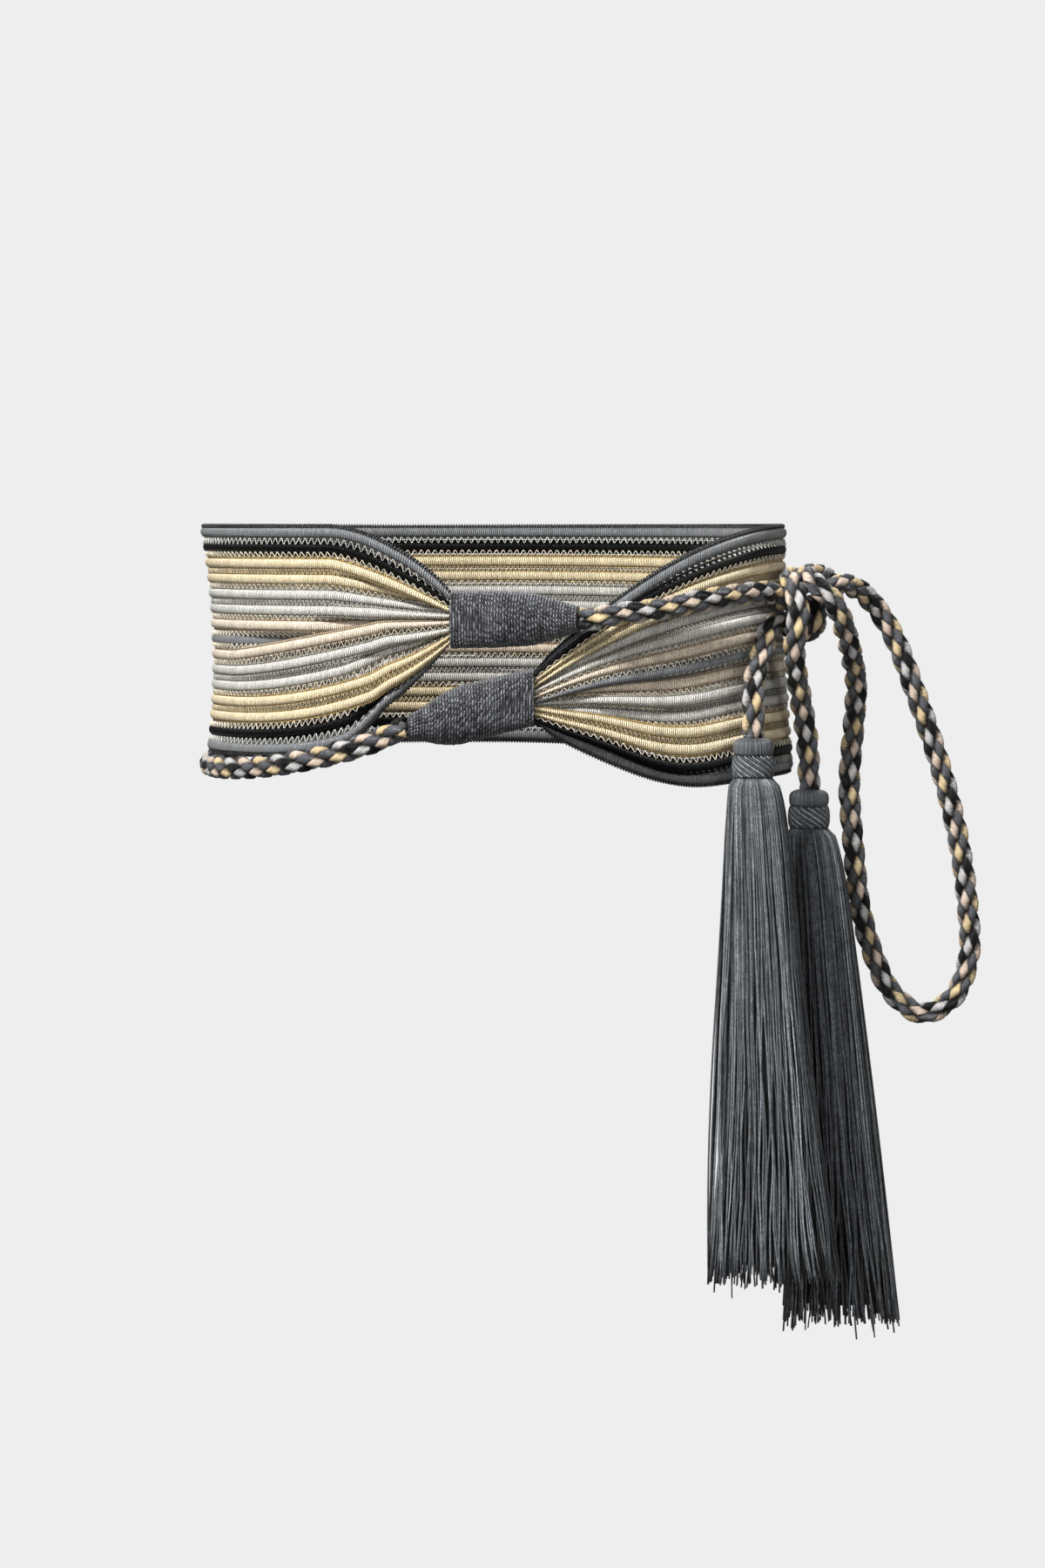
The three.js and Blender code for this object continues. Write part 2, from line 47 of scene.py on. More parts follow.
# Section across a rib, in shares of its half width and of its thickness: a round core between
# flat sewn edges
SECTION_ACROSS = (1, 0.92, 0.76, 0.62, 0.57, 0.48, 0.26, 0, -0.26, -0.48, -0.57, -0.62, -0.76, -0.92, -1)
CORE_SHARE = 0.62
CORE_EDGE = 0.05
FLANGE_SHARE = 0.3

# Thread wound round the cores, and small stitches on the flat edges
WINDING_PITCH = 0.00096
WINDING_SLANT = 0.0005
SEWN_PITCH = 0.00092

# Zigzag seams, from where on the rib above to where on the rib below. The inside gets painted shade, darker
# than the outside.
STITCH_RADIUS = 0.00026
STITCH_RISE = 0.0003
STITCH_CORNER = 0.12
INNER_SHADE = 0.8
# Plain seams' stitches lie in the groove and are painted darker there, as painted shade
SEAMS = {
    "plain": {"pitch": 0.0022, "upper": -0.62, "lower": 0.6, "shade": 0.75},
    "edge": {"pitch": 0.0032, "upper": -0.62, "lower": 0.42, "shade": 1.1},
    "mixed": {"pitch": 0.0032, "upper": -0.6, "lower": 0.66, "shade": 0.9},
    "over_upper": {"pitch": 0.0033, "upper": -0.42, "lower": 0.8, "shade": 1.1},
    "over_lower": {"pitch": 0.0033, "upper": -0.8, "lower": 0.42, "shade": 1.1},
}

# Thread turned over the band's top and bottom edges
EDGING = {"pitch": 0.0013, "radius": 0.00034, "inset": 0.0005, "half_height": 0.0009, "half_depth": 0.0011}
EDGING_STEPS = 6

# Gathered ends
MOUTH_PITCH = 0.0023
MOUTH_THICKNESS = 0.005
MOUTH_ROWS = 9
RIBS_IN_BINDING = 0.008
LEFT_MOUTH = {"reach": 0.0183, "height": 0.0102}
RIGHT_MOUTH = {"reach": 0.0174, "height": -0.024}
TUCK_DEPTH = MOUTH_THICKNESS + PIECE_GAP + TUCK_CLEARANCE

# Bindings
BINDING_WALL = 0.0017
MOUTH_ROOM = {"height": 0.00075, "depth": 0.0017}
UPPER_BINDING = {"run": 0.0552, "outward": 0.0086, "climb": 0.0003}
LOWER_BINDING = {"run": 0.0546, "outward": 0.0055, "climb": -0.0132}
TIP_WALL = 0.0004
BINDING_ROW = 0.0013
BINDING_RING_STEP = BINDING_ROW / 5
BINDING_RIDGE = 0.0004
BINDING_UNEVENNESS = 0.00012
BINDING_DASH = 0.0027
BINDING_SIDES = 64
BINDING_CORNERS = {"mouth": 4, "tip": 2}
BINDING_LIP = {"share": 0.28, "depth": 0.006, "along": 0.001}
BINDING_END = {"share": 0.5, "depth": 0.0002}

# Cords
CORD_DIAMETER = 0.0106

# Tassels
DOME_HEIGHT = 0.007
NECK_HEIGHT = 0.0104
SKIRT_TOP_RADIUS = 0.0102
SKIRT_LENGTH = 0.233
SKIRT_FLATNESS = 0.68
SKIRT_SHOULDER = {"rise": 0.0035, "length": 0.0116}
SKIRT_FLARE = 1.35
SKIRT_SWING_POWER = 0.7
DOME_OUTLINE = (
    (0.003, 0.0006), (0.0054, 0.0003), (0.0072, -0.0003), (0.0084, -0.0012),
    (0.009, -0.0026), (0.0091, -0.0046), (0.0088, -0.0064), (0.008, -0.0074),
)
DOME_SIDES = 48
DOME_RINGS = 22

# Thread turns round a tassel's neck, every second one darker. Each turn is painted lit along its top and
# painted shade at its sides, and is a little uneven at random.
WRAP_RADIUS = 0.0096
WRAP_THREADS = 30
WRAP_THREAD_RADIUS = 0.00056
WRAP_SLOPE = math.radians(33)
WRAP_NARROWING = 0.0007
WRAP_SHADES = (1.4, 0.35)
WRAP_LIGHT = {"deep": 0.02, "top": 1.8, "power": 1.5, "least": 0.7, "most": 1.3}
WRAP_STEPS = 15
WRAP_SIDES = 8

# Skirt threads, in layers from the inside out: how many threads, how far out they lie, how much
# that changes and how bright they are, the inner layers painted darker as painted shade. The last
# layer's few threads stray out of the skirt. Sway is a turn round the skirt, for each number of half
# waves along a thread.
SKIRT_STEPS = 24
SKIRT_STEP_POWER = 1.3
SKIRT_THREAD = 0.00042
SKIRT_SPREAD = 0.45
SKIRT_WAIST = 0.09
SKIRT_PULL_IN = 0.8
SKIRT_CUT = {"shortest": 0.93, "longest": 0.965, "uneven": 0.006}
# Threads a little darker overall, and more so towards the foot
SKIRT_DARKENING_DOWNWARD = {"top": 0.82, "foot": 0.75}
SKIRT_LOOSENESS = {"place": 0.4, "sway_power": 0.7, "sway_out": 0.2}
SKIRT_STRAY = {"turn": 0.5, "least_bow": 0.3}
SKIRT_LAYERS = [
    {"threads": 110, "ring": 0.80, "change": 0.04, "shade": 0.15},
    {"threads": 120, "ring": 0.90, "change": 0.04, "shade": 0.4},
    {"threads": 130, "ring": 0.97, "change": 0.03, "shade": 1.3},
    {"threads": 14, "ring": 0.97, "change": 0.0, "shade": 1.0},
]
SKIRT_SWAY_OF_WAVES = {1: 0.14, 2.6: 0.08, 5: 0.05, 9: 0.03}
# A dark core inside the skirt: painted shade behind the threads
SKIRT_CORE = {"ring": 0.68, "length": 0.93, "shade": 0.06}
CORE_RINGS = 16
CORE_SIDES = 40

# Front flaps. Changes start and end at shares of the waist's half width, and a higher power makes
# a change set in later.
PLEAT_SPAN = {"start": 0.913, "end": 0.357, "upper_power": 1.1, "lower_power": 2.8}
UPPER_GATHER = {"start": 0.547, "top_power": 1.8, "inner_power": 0.9, "fade": 2.5}
LOWER_GATHER = {"start": 0.42, "tucked_start": 0.51, "power": 1.5}
RIGHT_GATHER = {"top": 1.65, "bottom": 2.4}
RIGHT_SAG = {
    "start": 0.28, "end": 0.86, "depth": 0.005, "edge_depth": 0.002, "first_rib": 3, "last_rib": 13}

# One row for each rib from the top edge down: colour, then layer and row in the left and the
# right mouth. Layer 1 is tucked behind layer 0.
RIBS = [
    {"colour": "slate", "left": (1, 0.1), "right": (1, 0.4)},
    {"colour": "black", "left": (0, 1.1), "right": (0, 0)},
    {"colour": "gold", "left": (0, 2.4), "right": (0, 1)},
    {"colour": "gold", "left": (1, 1.6), "right": (0, 2)},
    {"colour": "silver", "left": (1, 2.7), "right": (1, 2.4)},
    {"colour": "silver", "left": (0, 3.4), "right": (0, 3)},
    {"colour": "beige", "left": (1, 3.8), "right": (0, 4)},
    {"colour": "slate", "left": (1, 4.8), "right": (0, 5)},
    {"colour": "beige", "left": (0, 4.6), "right": (1, 4.3)},
    {"colour": "silver", "left": (0, 5.9), "right": (1, 5.4)},
    {"colour": "silver", "left": (1, 5.8), "right": (1, 6.5)},
    {"colour": "gold", "left": (0, 7), "right": (0, 6)},
    {"colour": "gold", "left": (0, 8), "right": (0, 7)},
    {"colour": "black", "left": (1, 6.9), "right": (0, 8)},
    {"colour": "slate", "left": (1, 7.6), "right": (1, 7.6)},
]
BAND_HEIGHT = len(RIBS) * RIB_PITCH
RIB_INDEX = np.arange(len(RIBS))[:, None]
MIDDLE_RIB = len(RIBS) // 2
LAST_RIB = len(RIBS) - 1

# Outline of a binding along it: half height and half depth as shares of those at the mouth
UPPER_OUTLINE = {
    "along": (0, 0.22, 0.45, 0.68, 0.84),
    "height": (1, 0.985, 0.96, 0.87, 0.66),
    "depth": (1, 1.05, 1.05, 0.98, 0.84),
}
LOWER_OUTLINE = {
    "along": (0, 0.22, 0.42, 0.6, 0.76, 0.9),
    "height": (1, 1, 1.01, 1.01, 0.83, 0.56),
    "depth": (1, 1.07, 1.12, 1.09, 0.95, 0.77),
}

# Route of the upper cord: along the right flap, through the knot, round the loop, back through
# the knot and down to the front tassel
UPPER_ROUTE = [
    (0.0378, -0.0981, 0.0105), (0.043, -0.0989, 0.0106), (0.0493, -0.0993, 0.0116),
    (0.0567, -0.0958, 0.0129), (0.0712, -0.09, 0.0145), (0.0914, -0.0805, 0.0182),
    (0.1123, -0.0652, 0.0211), (0.1245, -0.0475, 0.0212), (0.1295, -0.0385, 0.0182),
    (0.1345, -0.0295, 0.0153), (0.141, -0.0205, 0.0145), (0.1485, -0.012, 0.0165),
    (0.1535, -0.008, 0.022), (0.1525, -0.0105, 0.0265), (0.1475, -0.02, 0.0288),
    (0.142, -0.031, 0.029), (0.142, -0.041, 0.0273), (0.146, -0.0475, 0.0235),
    (0.151, -0.048, 0.0186), (0.1549, -0.0445, 0.0124), (0.1575, -0.0395, 0.006),
    (0.1598, -0.0335, -0.0004), (0.162, -0.0255, -0.008), (0.1648, -0.0145, -0.0206),
    (0.1644, -0.006, -0.0388), (0.1627, -0.002, -0.0669), (0.1648, 0, -0.0951),
    (0.1681, 0.002, -0.1232), (0.1742, 0.003, -0.1453), (0.1831, 0.004, -0.1634),
    (0.1971, 0.004, -0.1731), (0.2112, 0.004, -0.1658), (0.2183, 0.003, -0.1473),
    (0.2176, 0.002, -0.1232), (0.2136, 0.001, -0.0951), (0.2058, 0, -0.0631),
    (0.1936, -0.002, -0.027), (0.1826, -0.004, 0.001), (0.1732, -0.008, 0.0154),
    (0.165, -0.016, 0.0226), (0.1571, -0.0255, 0.0246), (0.1507, -0.0325, 0.0216),
    (0.1466, -0.0346, 0.015), (0.1451, -0.0344, 0.0076), (0.1426, -0.031, 0.0045),
    (0.1378, -0.031, 0.0035), (0.1325, -0.0355, 0.0062), (0.1278, -0.0415, 0.008),
    (0.1236, -0.048, 0.0045), (0.1212, -0.0525, -0.0015), (0.1186, -0.057, -0.0085),
    (0.1164, -0.061, -0.0165), (0.1156, -0.0658, -0.026), (0.1155, -0.0674, -0.0355),
    (0.1155, -0.0676, -0.0433),
]

# Route of the lower cord: under the left flap, round the left side and the back, over the knot
# and down to the rear tassel
LOWER_ROUTE = [
    (-0.0389, -0.0951, -0.0376), (-0.0426, -0.0952, -0.0385), (-0.0494, -0.0919, -0.0422),
    (-0.0658, -0.0868, -0.0478), (-0.0867, -0.0775, -0.0528), (-0.1065, -0.0606, -0.0562),
    (-0.121, -0.0408, -0.0574), (-0.1286, -0.0175, -0.0576), (-0.1295, 0, -0.0579),
    (-0.131, 0.0175, -0.0574), (-0.1255, 0.038, -0.0548), (-0.1128, 0.0588, -0.0465),
    (-0.0876, 0.0772, -0.036), (-0.0568, 0.0896, -0.027), (-0.0234, 0.0968, -0.019),
    (0.0117, 0.0975, -0.011), (0.0461, 0.0923, -0.004), (0.0778, 0.0816, 0.003),
    (0.1051, 0.0658, 0.0095), (0.1253, 0.0491, 0.016), (0.1379, 0.0301, 0.0215),
    (0.1415, 0.009, 0.025), (0.139, -0.01, 0.027), (0.1352, -0.025, 0.0276),
    (0.1335, -0.038, 0.0273), (0.135, -0.0485, 0.0225), (0.1362, -0.0525, 0.0135),
    (0.1355, -0.0523, 0.005), (0.1346, -0.0495, -0.003), (0.1352, -0.044, -0.011),
    (0.1382, -0.0345, -0.0255), (0.1419, -0.025, -0.0459), (0.143, -0.0214, -0.06),
    (0.1431, -0.021, -0.0687),
]

# One row for each tassel: how far its foot swings to the right, its half width there, and on which
# side and how far its stray threads bow out
TASSELS = [
    {"name": "tassel_front", "swing": 0.010, "foot": 0.031, "stray_turn": 3.3, "stray_bow": 0.36, "seed": 3},
    {"name": "tassel_rear", "swing": 0.016, "foot": 0.028, "stray_turn": -0.2, "stray_bow": 0.16, "seed": 8},
]

# Colours of the threads, as they look in even light
TINTS = {
    "slate": (0.50, 0.51, 0.52),
    "black": (0.04, 0.04, 0.045),
    "gold": (0.94, 0.865, 0.705),
    "silver": (0.85, 0.84, 0.81),
    "beige": (0.94, 0.87, 0.78),
    "ivory": (0.97, 0.93, 0.84),
    "yarn_slate": (0.34, 0.35, 0.37),
    "yarn_black": (0.04, 0.04, 0.045),
    "yarn_gold": (0.93, 0.83, 0.64),
    "yarn_silver": (0.82, 0.81, 0.80),
    "yarn_beige": (0.91, 0.82, 0.74),
    "binding": (0.285, 0.29, 0.305),
    "tassel": (0.366, 0.382, 0.398),
    "edge": (0.08, 0.08, 0.09),
}

# Deeper colours of the sewn strips between the ribs' cores, painted shade of the grooves they lie in
SEWN_TINTS = {
    "slate": (0.50, 0.50, 0.50),
    "black": (0.04, 0.04, 0.045),
    "gold": (0.98, 0.82, 0.50),
    "silver": (0.85, 0.82, 0.75),
    "beige": (0.94, 0.83, 0.68),
}

# Roughness and shine of each colour's yarn, and of its ribs with their sheen
FINISHES = {
    "gold": {"yarn": (0.28, 0.7), "rib": (0.32, 0.8, 0.1)},
    "slate": {"yarn": (0.28, 0.7), "rib": (0.3, 0.6, 0.1)},
    "silver": {"yarn": (0.26, 0.7), "rib": (0.26, 0.8, 0.1)},
    "black": {"yarn": (0.34, 0.3), "rib": (0.34, 0.2, 0.0)},
    "beige": {"yarn": (0.28, 0.7), "rib": (0.32, 0.6, 0.1)},
}

# Laid cord: three strands, each of two yarns of different colours twisted the other way
STRANDS = [("gold", "slate"), ("silver", "black"), ("beige", "slate")]
STRAND_LAY = 0.033
STRAND_OFFSET = 0.0026
YARN_LAY = 0.011
YARN_OFFSET = 0.00125
YARN_HALF_WIDTH = 0.00225
YARN_HALF_DEPTH = 0.00145
YARN_STEP = 0.0009
YARN_SIDES = 10
ROUTE_FINENESS = 24

# Painted shade in the cord: below what distance from the cord's middle a yarn lies deep and is painted
# darkest, from what distance it is painted fully lit, and how dark the deep parts are painted
YARN_DARK_BELOW = 0.0037
YARN_BRIGHT_FROM = 0.0048
YARN_DEEP_SHADE = 0.12

# Camera, lights and the pale stage
EYE = Vector((0.0128, -2.2, 0.05175))
AIM = Vector((0.0128, 0, -0.06705))
LENS = 110.2
LIGHT_AIM = Vector((0.04, 0, -0.06))
LIGHTS = [
    {"name": "key", "place": (-0.85, -1.35, 1.5), "size": 0.5, "power": 72},
    {"name": "fill", "place": (1.5, -1.7, 0.3), "size": 1.0, "power": 9},
    {"name": "front", "place": (-0.4, -2.4, 0.3), "size": 0.6, "power": 12},
    {"name": "back", "place": (0.4, 1.8, 1.4), "size": 1.4, "power": 20},
]
ROOM_LIGHT = 0.12
FLOOR_HEIGHT = -0.62
FLOOR_RADIUS = 6
WALL_BEND = 2
WALL_TOP = 9
STAGE_MIDDLE = 0.01
STAGE_TINT = (0.933, 0.933, 0.933)
STAGE_SIDES = 64
BEND_STEPS = 8


# Small tools

def clamp(value):
    return np.clip(value, 0, 1)


def mix(start, end, share):
    return start + (end - start) * share


def smooth(share):
    return clamp(share) ** 2 * (3 - 2 * clamp(share))


def unit(vectors):
    return vectors / np.linalg.norm(vectors, axis=-1, keepdims=True)


def linear(tint):
    """A screen colour as the shader wants it."""
    return tuple(((c + 0.055) / 1.055) ** 2.4 if c > 0.04 else c / 12.92 for c in tint) + (1,)


# The band's shape

def waist_point(angle):
    turn = np.radians(angle)
    return np.stack([WAIST_HALF_WIDTH * np.sin(turn), -WAIST_HALF_DEPTH * np.cos(turn), 0 * turn], -1)


def outward(angle):
    turn = np.radians(angle)
    return unit(np.stack([WAIST_HALF_DEPTH * np.sin(turn), -WAIST_HALF_WIDTH * np.cos(turn), 0 * turn], -1))


LEFT_END = -math.degrees(math.asin(LEFT_MOUTH["reach"] / WAIST_HALF_WIDTH))
RIGHT_END = -360 + math.degrees(math.asin(RIGHT_MOUTH["reach"] / WAIST_HALF_WIDTH))


def mouth_height(mouth, row):
    return mouth["height"] + ((MOUTH_ROWS - 1) / 2 - row) * MOUTH_PITCH


def mouth_column(side, part):
    """Each rib's layer (part 0) or row (part 1) in a mouth, one below the other."""
    return np.array([rib[side][part] for rib in RIBS])[:, None]


def side_share(angles):
    """How far out to the side each angle lies, as a share of the waist's half width."""
    return np.abs(np.sin(np.radians(angles)))


def plain_ribs(angles):
    """Pitch and height of every rib at each angle, before anything sags or is gathered."""
    side = SIDE_SPREAD * smooth((-180 - angles) / 90)
    forward = np.where(angles < -270, (1 - side_share(angles)) * WAIST_HALF_WIDTH, 0)
    flap = (FLAP_SPREAD - SIDE_SPREAD) * smooth(forward / FLAP_SPREAD_REACH)
    pitch = RIB_PITCH * (1 + side + flap)
    return pitch, BAND_HEIGHT / 2 - (RIB_INDEX + 0.5) * pitch


def left_heights(share, plain):
    """The left flap: its lower half rises over the pleat, and both halves gather in the mouth."""
    upper = RIB_INDEX <= MIDDLE_RIB
    mouth_share = LEFT_MOUTH["reach"] / WAIST_HALF_WIDTH
    pleat = clamp((PLEAT_SPAN["start"] - share) / (PLEAT_SPAN["start"] - PLEAT_SPAN["end"]))
    below_middle = clamp((RIB_INDEX - MIDDLE_RIB - 1) / (LAST_RIB - MIDDLE_RIB - 1))
    pleat_power = mix(PLEAT_SPAN["upper_power"], PLEAT_SPAN["lower_power"], below_middle)
    flat = plain + np.where(upper, 0, PLEAT_RISE * pleat ** pleat_power)
    above = clamp((UPPER_GATHER["start"] - share) / (UPPER_GATHER["start"] - mouth_share))
    to_top = clamp(1 - RIB_INDEX / MIDDLE_RIB) ** UPPER_GATHER["fade"]
    upper_power = mix(UPPER_GATHER["inner_power"], UPPER_GATHER["top_power"], to_top)
    tucked = mouth_column("left", 0) == 1
    start = np.where(tucked, LOWER_GATHER["tucked_start"], LOWER_GATHER["start"])
    below = clamp((start - share) / (start - mouth_share)) ** LOWER_GATHER["power"]
    gather = np.where(upper, above ** upper_power, below)
    return mix(flat, mouth_height(LEFT_MOUTH, mouth_column("left", 1)), gather)


def right_heights(share, plain):
    """The right flap: its lower ribs sag, and all gather in the mouth."""
    first, last = RIGHT_SAG["first_rib"], RIGHT_SAG["last_rib"]
    sag_share = clamp((share - RIGHT_SAG["start"]) / (RIGHT_SAG["end"] - RIGHT_SAG["start"]))
    rib_share = clamp((RIB_INDEX - first) / (last - first))
    depth = np.where(RIB_INDEX > last, RIGHT_SAG["edge_depth"], RIGHT_SAG["depth"] * rib_share)
    hung = plain - depth * np.sin(np.pi * sag_share) ** 2
    power = mix(RIGHT_GATHER["top"], RIGHT_GATHER["bottom"], RIB_INDEX / LAST_RIB)
    gather = clamp((1 - share) / (1 - RIGHT_MOUTH["reach"] / WAIST_HALF_WIDTH)) ** power
    return mix(hung, mouth_height(RIGHT_MOUTH, mouth_column("right", 1)), gather)


def band_stations(angles):
    """Height, half width, half thickness and depth of every rib at each angle."""
    pitch, plain = plain_ribs(angles)
    share = side_share(angles)
    back_and_right = np.where(angles < -270, right_heights(share, plain), plain)
    heights = np.where(angles > -90, left_heights(share, plain), back_and_right)
    layers = np.where(angles > -90, mouth_column("left", 0), mouth_column("right", 0))
    spacing = np.abs(heights[:, None] - heights[None])
    same = layers[:, None] == layers[None]
    itself = np.eye(len(RIBS), dtype=bool)[:, :, None]
    width = np.minimum(pitch, np.where(same & ~itself, spacing, np.inf).min(1)) - PIECE_GAP
    crowding = np.where(~same, spacing, np.inf).min(1)
    pinch = clamp((pitch - PIECE_GAP - width) / (pitch - MOUTH_PITCH))
    tucked = np.sqrt(1 - clamp(crowding / pitch) ** 2)
    thickness = mix(RIB_THICKNESS, MOUTH_THICKNESS, pinch)
    return heights, width / 2, thickness / 2, layers * TUCK_DEPTH * tucked


def band_point(angle, height, out):
    """A point of the band, given its height and how far it stands out of the waist line."""
    side = side_share(angle)
    hug = np.where((angle > -90) | (angle < -270), side, 1)
    to_right = smooth((-180 - angle) / 90)
    depth = mix(NIP_DEPTH, RIGHT_SIDE["nip"], to_right)
    nip = depth * hug * (1 - clamp(np.abs(2 * height / BAND_HEIGHT)) ** 2)
    full = RIGHT_SIDE["fullness"] * smooth(side) * to_right
    point = waist_point(angle) + outward(angle) * (out - nip + full)[..., None]
    point[..., 0] -= SIDE_LEAN * side * height / BAND_HEIGHT
    point[..., 2] = height
    return point


def binding_axis(mouth, angle, binding, heading):
    start = waist_point(np.float64(angle)) - outward(np.float64(angle)) * TUCK_DEPTH / 2
    start[2] = mouth["height"]
    run = np.array([heading * binding["run"], -binding["outward"], binding["climb"]])
    out = -heading * unit(np.array([-run[1], run[0], 0]))
    return {"start": start, "run": run, "out": out}


UPPER_AXIS = binding_axis(LEFT_MOUTH, LEFT_END, UPPER_BINDING, 1)
LOWER_AXIS = binding_axis(RIGHT_MOUTH, RIGHT_END, LOWER_BINDING, -1)


# Meshes made of bundles of tubes

def fill(items, key, parts, kind=np.float32):
    """Sets one value of every item from arrays of them."""
    items.foreach_set(key, np.concatenate(parts).reshape(-1).astype(kind))


class Bundle:
    """Collects tubes, each lot of equally many rings and sides, and makes one mesh of them."""

    def __init__(self):
        self.points, self.faces, self.places, self.slots, self.shades = [], [], [], [], []
        self.count = 0

    def add(self, points, along, around=None, slots=0, shade=1.0):
        """points is tubes x rings x sides x 3, along is tubes x rings, around has one value
        more than there are sides, slots is one material for each tube, and shade is a
        brightness for each point. Without around, 1 is once round a tube."""
        tubes, rings, sides, _ = points.shape
        around = np.arange(sides + 1) / sides if around is None else around
        index = self.count + np.arange(tubes * rings * sides).reshape(tubes, rings, sides)
        self.count += index.size
        self.points.append(points.reshape(-1, 3))
        self.shades.append(np.broadcast_to(shade, index.shape).reshape(-1))
        beside = np.roll(index, -1, axis=2)
        quads = np.stack([index[:, :-1], beside[:, :-1], beside[:, 1:], index[:, 1:]], -1)
        u = np.stack([around[:-1], around[1:], around[1:], around[:-1]], -1)
        low, high = along[:, :-1, None], along[:, 1:, None]
        v = np.stack([low, low, high, high], -1)
        slots = np.broadcast_to(slots, (tubes,))
        turned = self.inside_out(points[0])
        self.keep(quads, u, v, slots[:, None, None], turned)
        for ring, flip in ((0, not turned), (rings - 1, turned)):
            self.keep(index[:, ring], around[:-1], along[:, ring, None], slots, flip)
        return self

    @staticmethod
    def inside_out(tube):
        """Whether a tube's faces would look inwards."""
        middle = tube.mean((0, 1))
        low, high = tube[:-1] - middle, tube[1:] - middle
        beside = np.roll(low, -1, axis=1)
        return np.einsum("rsk,rsk->", low, np.cross(beside, high)) < 0

    def keep(self, faces, u, v, slots, turned):
        places = np.stack([np.broadcast_to(part, faces.shape) for part in (u, v)], -1)
        if turned:
            faces, places = faces[..., ::-1], places[..., ::-1, :]
        self.faces.append(faces.reshape(-1, faces.shape[-1]))
        self.places.append(places.reshape(-1, 2))
        self.slots.append(np.broadcast_to(slots, faces.shape[:-1]).reshape(-1))

    def make(self, name, materials):
        mesh = bpy.data.meshes.new(name)
        corners = np.concatenate([faces.reshape(-1) for faces in self.faces])
        totals = np.concatenate([np.full(len(faces), faces.shape[1]) for faces in self.faces])
        mesh.vertices.add(self.count)
        fill(mesh.vertices, "co", self.points)
        mesh.loops.add(len(corners))
        fill(mesh.loops, "vertex_index", [corners], np.int32)
        mesh.polygons.add(len(totals))
        fill(mesh.polygons, "loop_start", [np.cumsum(totals) - totals], np.int32)
        fill(mesh.polygons, "material_index", self.slots, np.int32)
        fill(mesh.uv_layers.new(name="thread").data, "uv", self.places)
        fill(mesh.attributes.new("shade", "FLOAT", "POINT").data, "value", self.shades)
        mesh.update(calc_edges=True)
        mesh.validate()
        mesh.shade_smooth()
        for material in materials:
            mesh.materials.append(material)
        made = bpy.data.objects.new(name, mesh)
        bpy.context.scene.collection.objects.link(made)
        return made


def strand(path, up, half_width, half_height, sides):
    """Rings round a path of tubes x rings x 3. up gives the way that half_height points."""
    along = unit(np.gradient(path, axis=1))
    side = unit(np.cross(up, along))
    over = np.cross(along, side)
    turn = full_turn(sides)
    wide = np.asarray(half_width)[..., None] * np.cos(turn)
    high = np.asarray(half_height)[..., None] * np.sin(turn)
    return path[:, :, None] + side[:, :, None] * wide[..., None] + over[:, :, None] * high[..., None]


def run_length(path):
    steps = np.linalg.norm(np.diff(path, axis=-2), axis=-1)
    return np.concatenate([np.zeros(steps.shape[:-1] + (1,)), np.cumsum(steps, -1)], -1)


def full_turn(sides):
    return 2 * np.pi * np.arange(sides) / sides


def dress(piece, slot, *nodes):
    """Hides the solids that a piece stands for, if any, and puts the piece on its body. slot is not used."""
    if nodes:
        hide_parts(*nodes)
    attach(piece, BODY)


# Materials

def new_material(name, tint, roughness, specular, sheen):
    material = bpy.data.materials.new(name)
    material.use_nodes = True
    tree = material.node_tree
    shader = tree.nodes["Principled BSDF"]
    shader.inputs["Base Color"].default_value = linear(tint)
    shader.inputs["Roughness"].default_value = roughness
    shader.inputs["Specular IOR Level"].default_value = specular
    shader.inputs["Sheen Weight"].default_value = sheen
    shader.inputs["Sheen Roughness"].default_value = 0.4
    return material, tree, shader


class Value:
    """A value in a material's nodes. Sums with it make further nodes."""

    def __init__(self, tree, socket):
        self.tree = tree
        self.socket = socket

    def calc(self, operation, *others):
        return node(self.tree, "ShaderNodeMath", dict(enumerate((self, *others))), operation=operation)

    __add__ = partialmethod(calc, "ADD")
    __sub__ = partialmethod(calc, "SUBTRACT")
    __mul__ = partialmethod(calc, "MULTIPLY")
    __truediv__ = partialmethod(calc, "DIVIDE")
    __pow__ = partialmethod(calc, "POWER")
    __abs__ = partialmethod(calc, "ABSOLUTE")


def node(tree, kind, inputs, output=0, **settings):
    """An output of a new node, with its settings and its inputs filled in."""
    made = tree.nodes.new(kind)
    for key, value in settings.items():
        setattr(made, key, value)
    for key, value in inputs.items():
        if isinstance(value, Value):
            tree.links.new(value.socket, made.inputs[key])
        else:
            made.inputs[key].default_value = value
    return Value(tree, made.outputs[output])


def thread_place(tree):
    """Across and along a thread, from its map."""
    place = node(tree, "ShaderNodeUVMap", {}, uv_map="thread")
    return [node(tree, "ShaderNodeSeparateXYZ", {0: place}, axis) for axis in (0, 1)]


def remap(value, low, high):
    """Takes a value from 0 to 1 to one from low to high."""
    return value * (high - low) + low


def wave(value):
    """Goes from 0 to 1 and back once for each 1 of the value."""
    return abs((value * math.pi).calc("SINE"))


def line_noise(value, detail=2.0):
    settings = {"W": value, "Scale": 1.0, "Detail": detail}
    return node(value.tree, "ShaderNodeTexNoise", settings, noise_dimensions="1D")


def place_noise(tree, scale):
    place = node(tree, "ShaderNodeNewGeometry", {}, "Position")
    return node(tree, "ShaderNodeTexNoise", {"Vector": place, "Scale": scale, "Detail": 2.0})


def random_of(value):
    """A chance value from 0 to 1 for each value."""
    return node(value.tree, "ShaderNodeTexWhiteNoise", {"W": value}, noise_dimensions="1D")


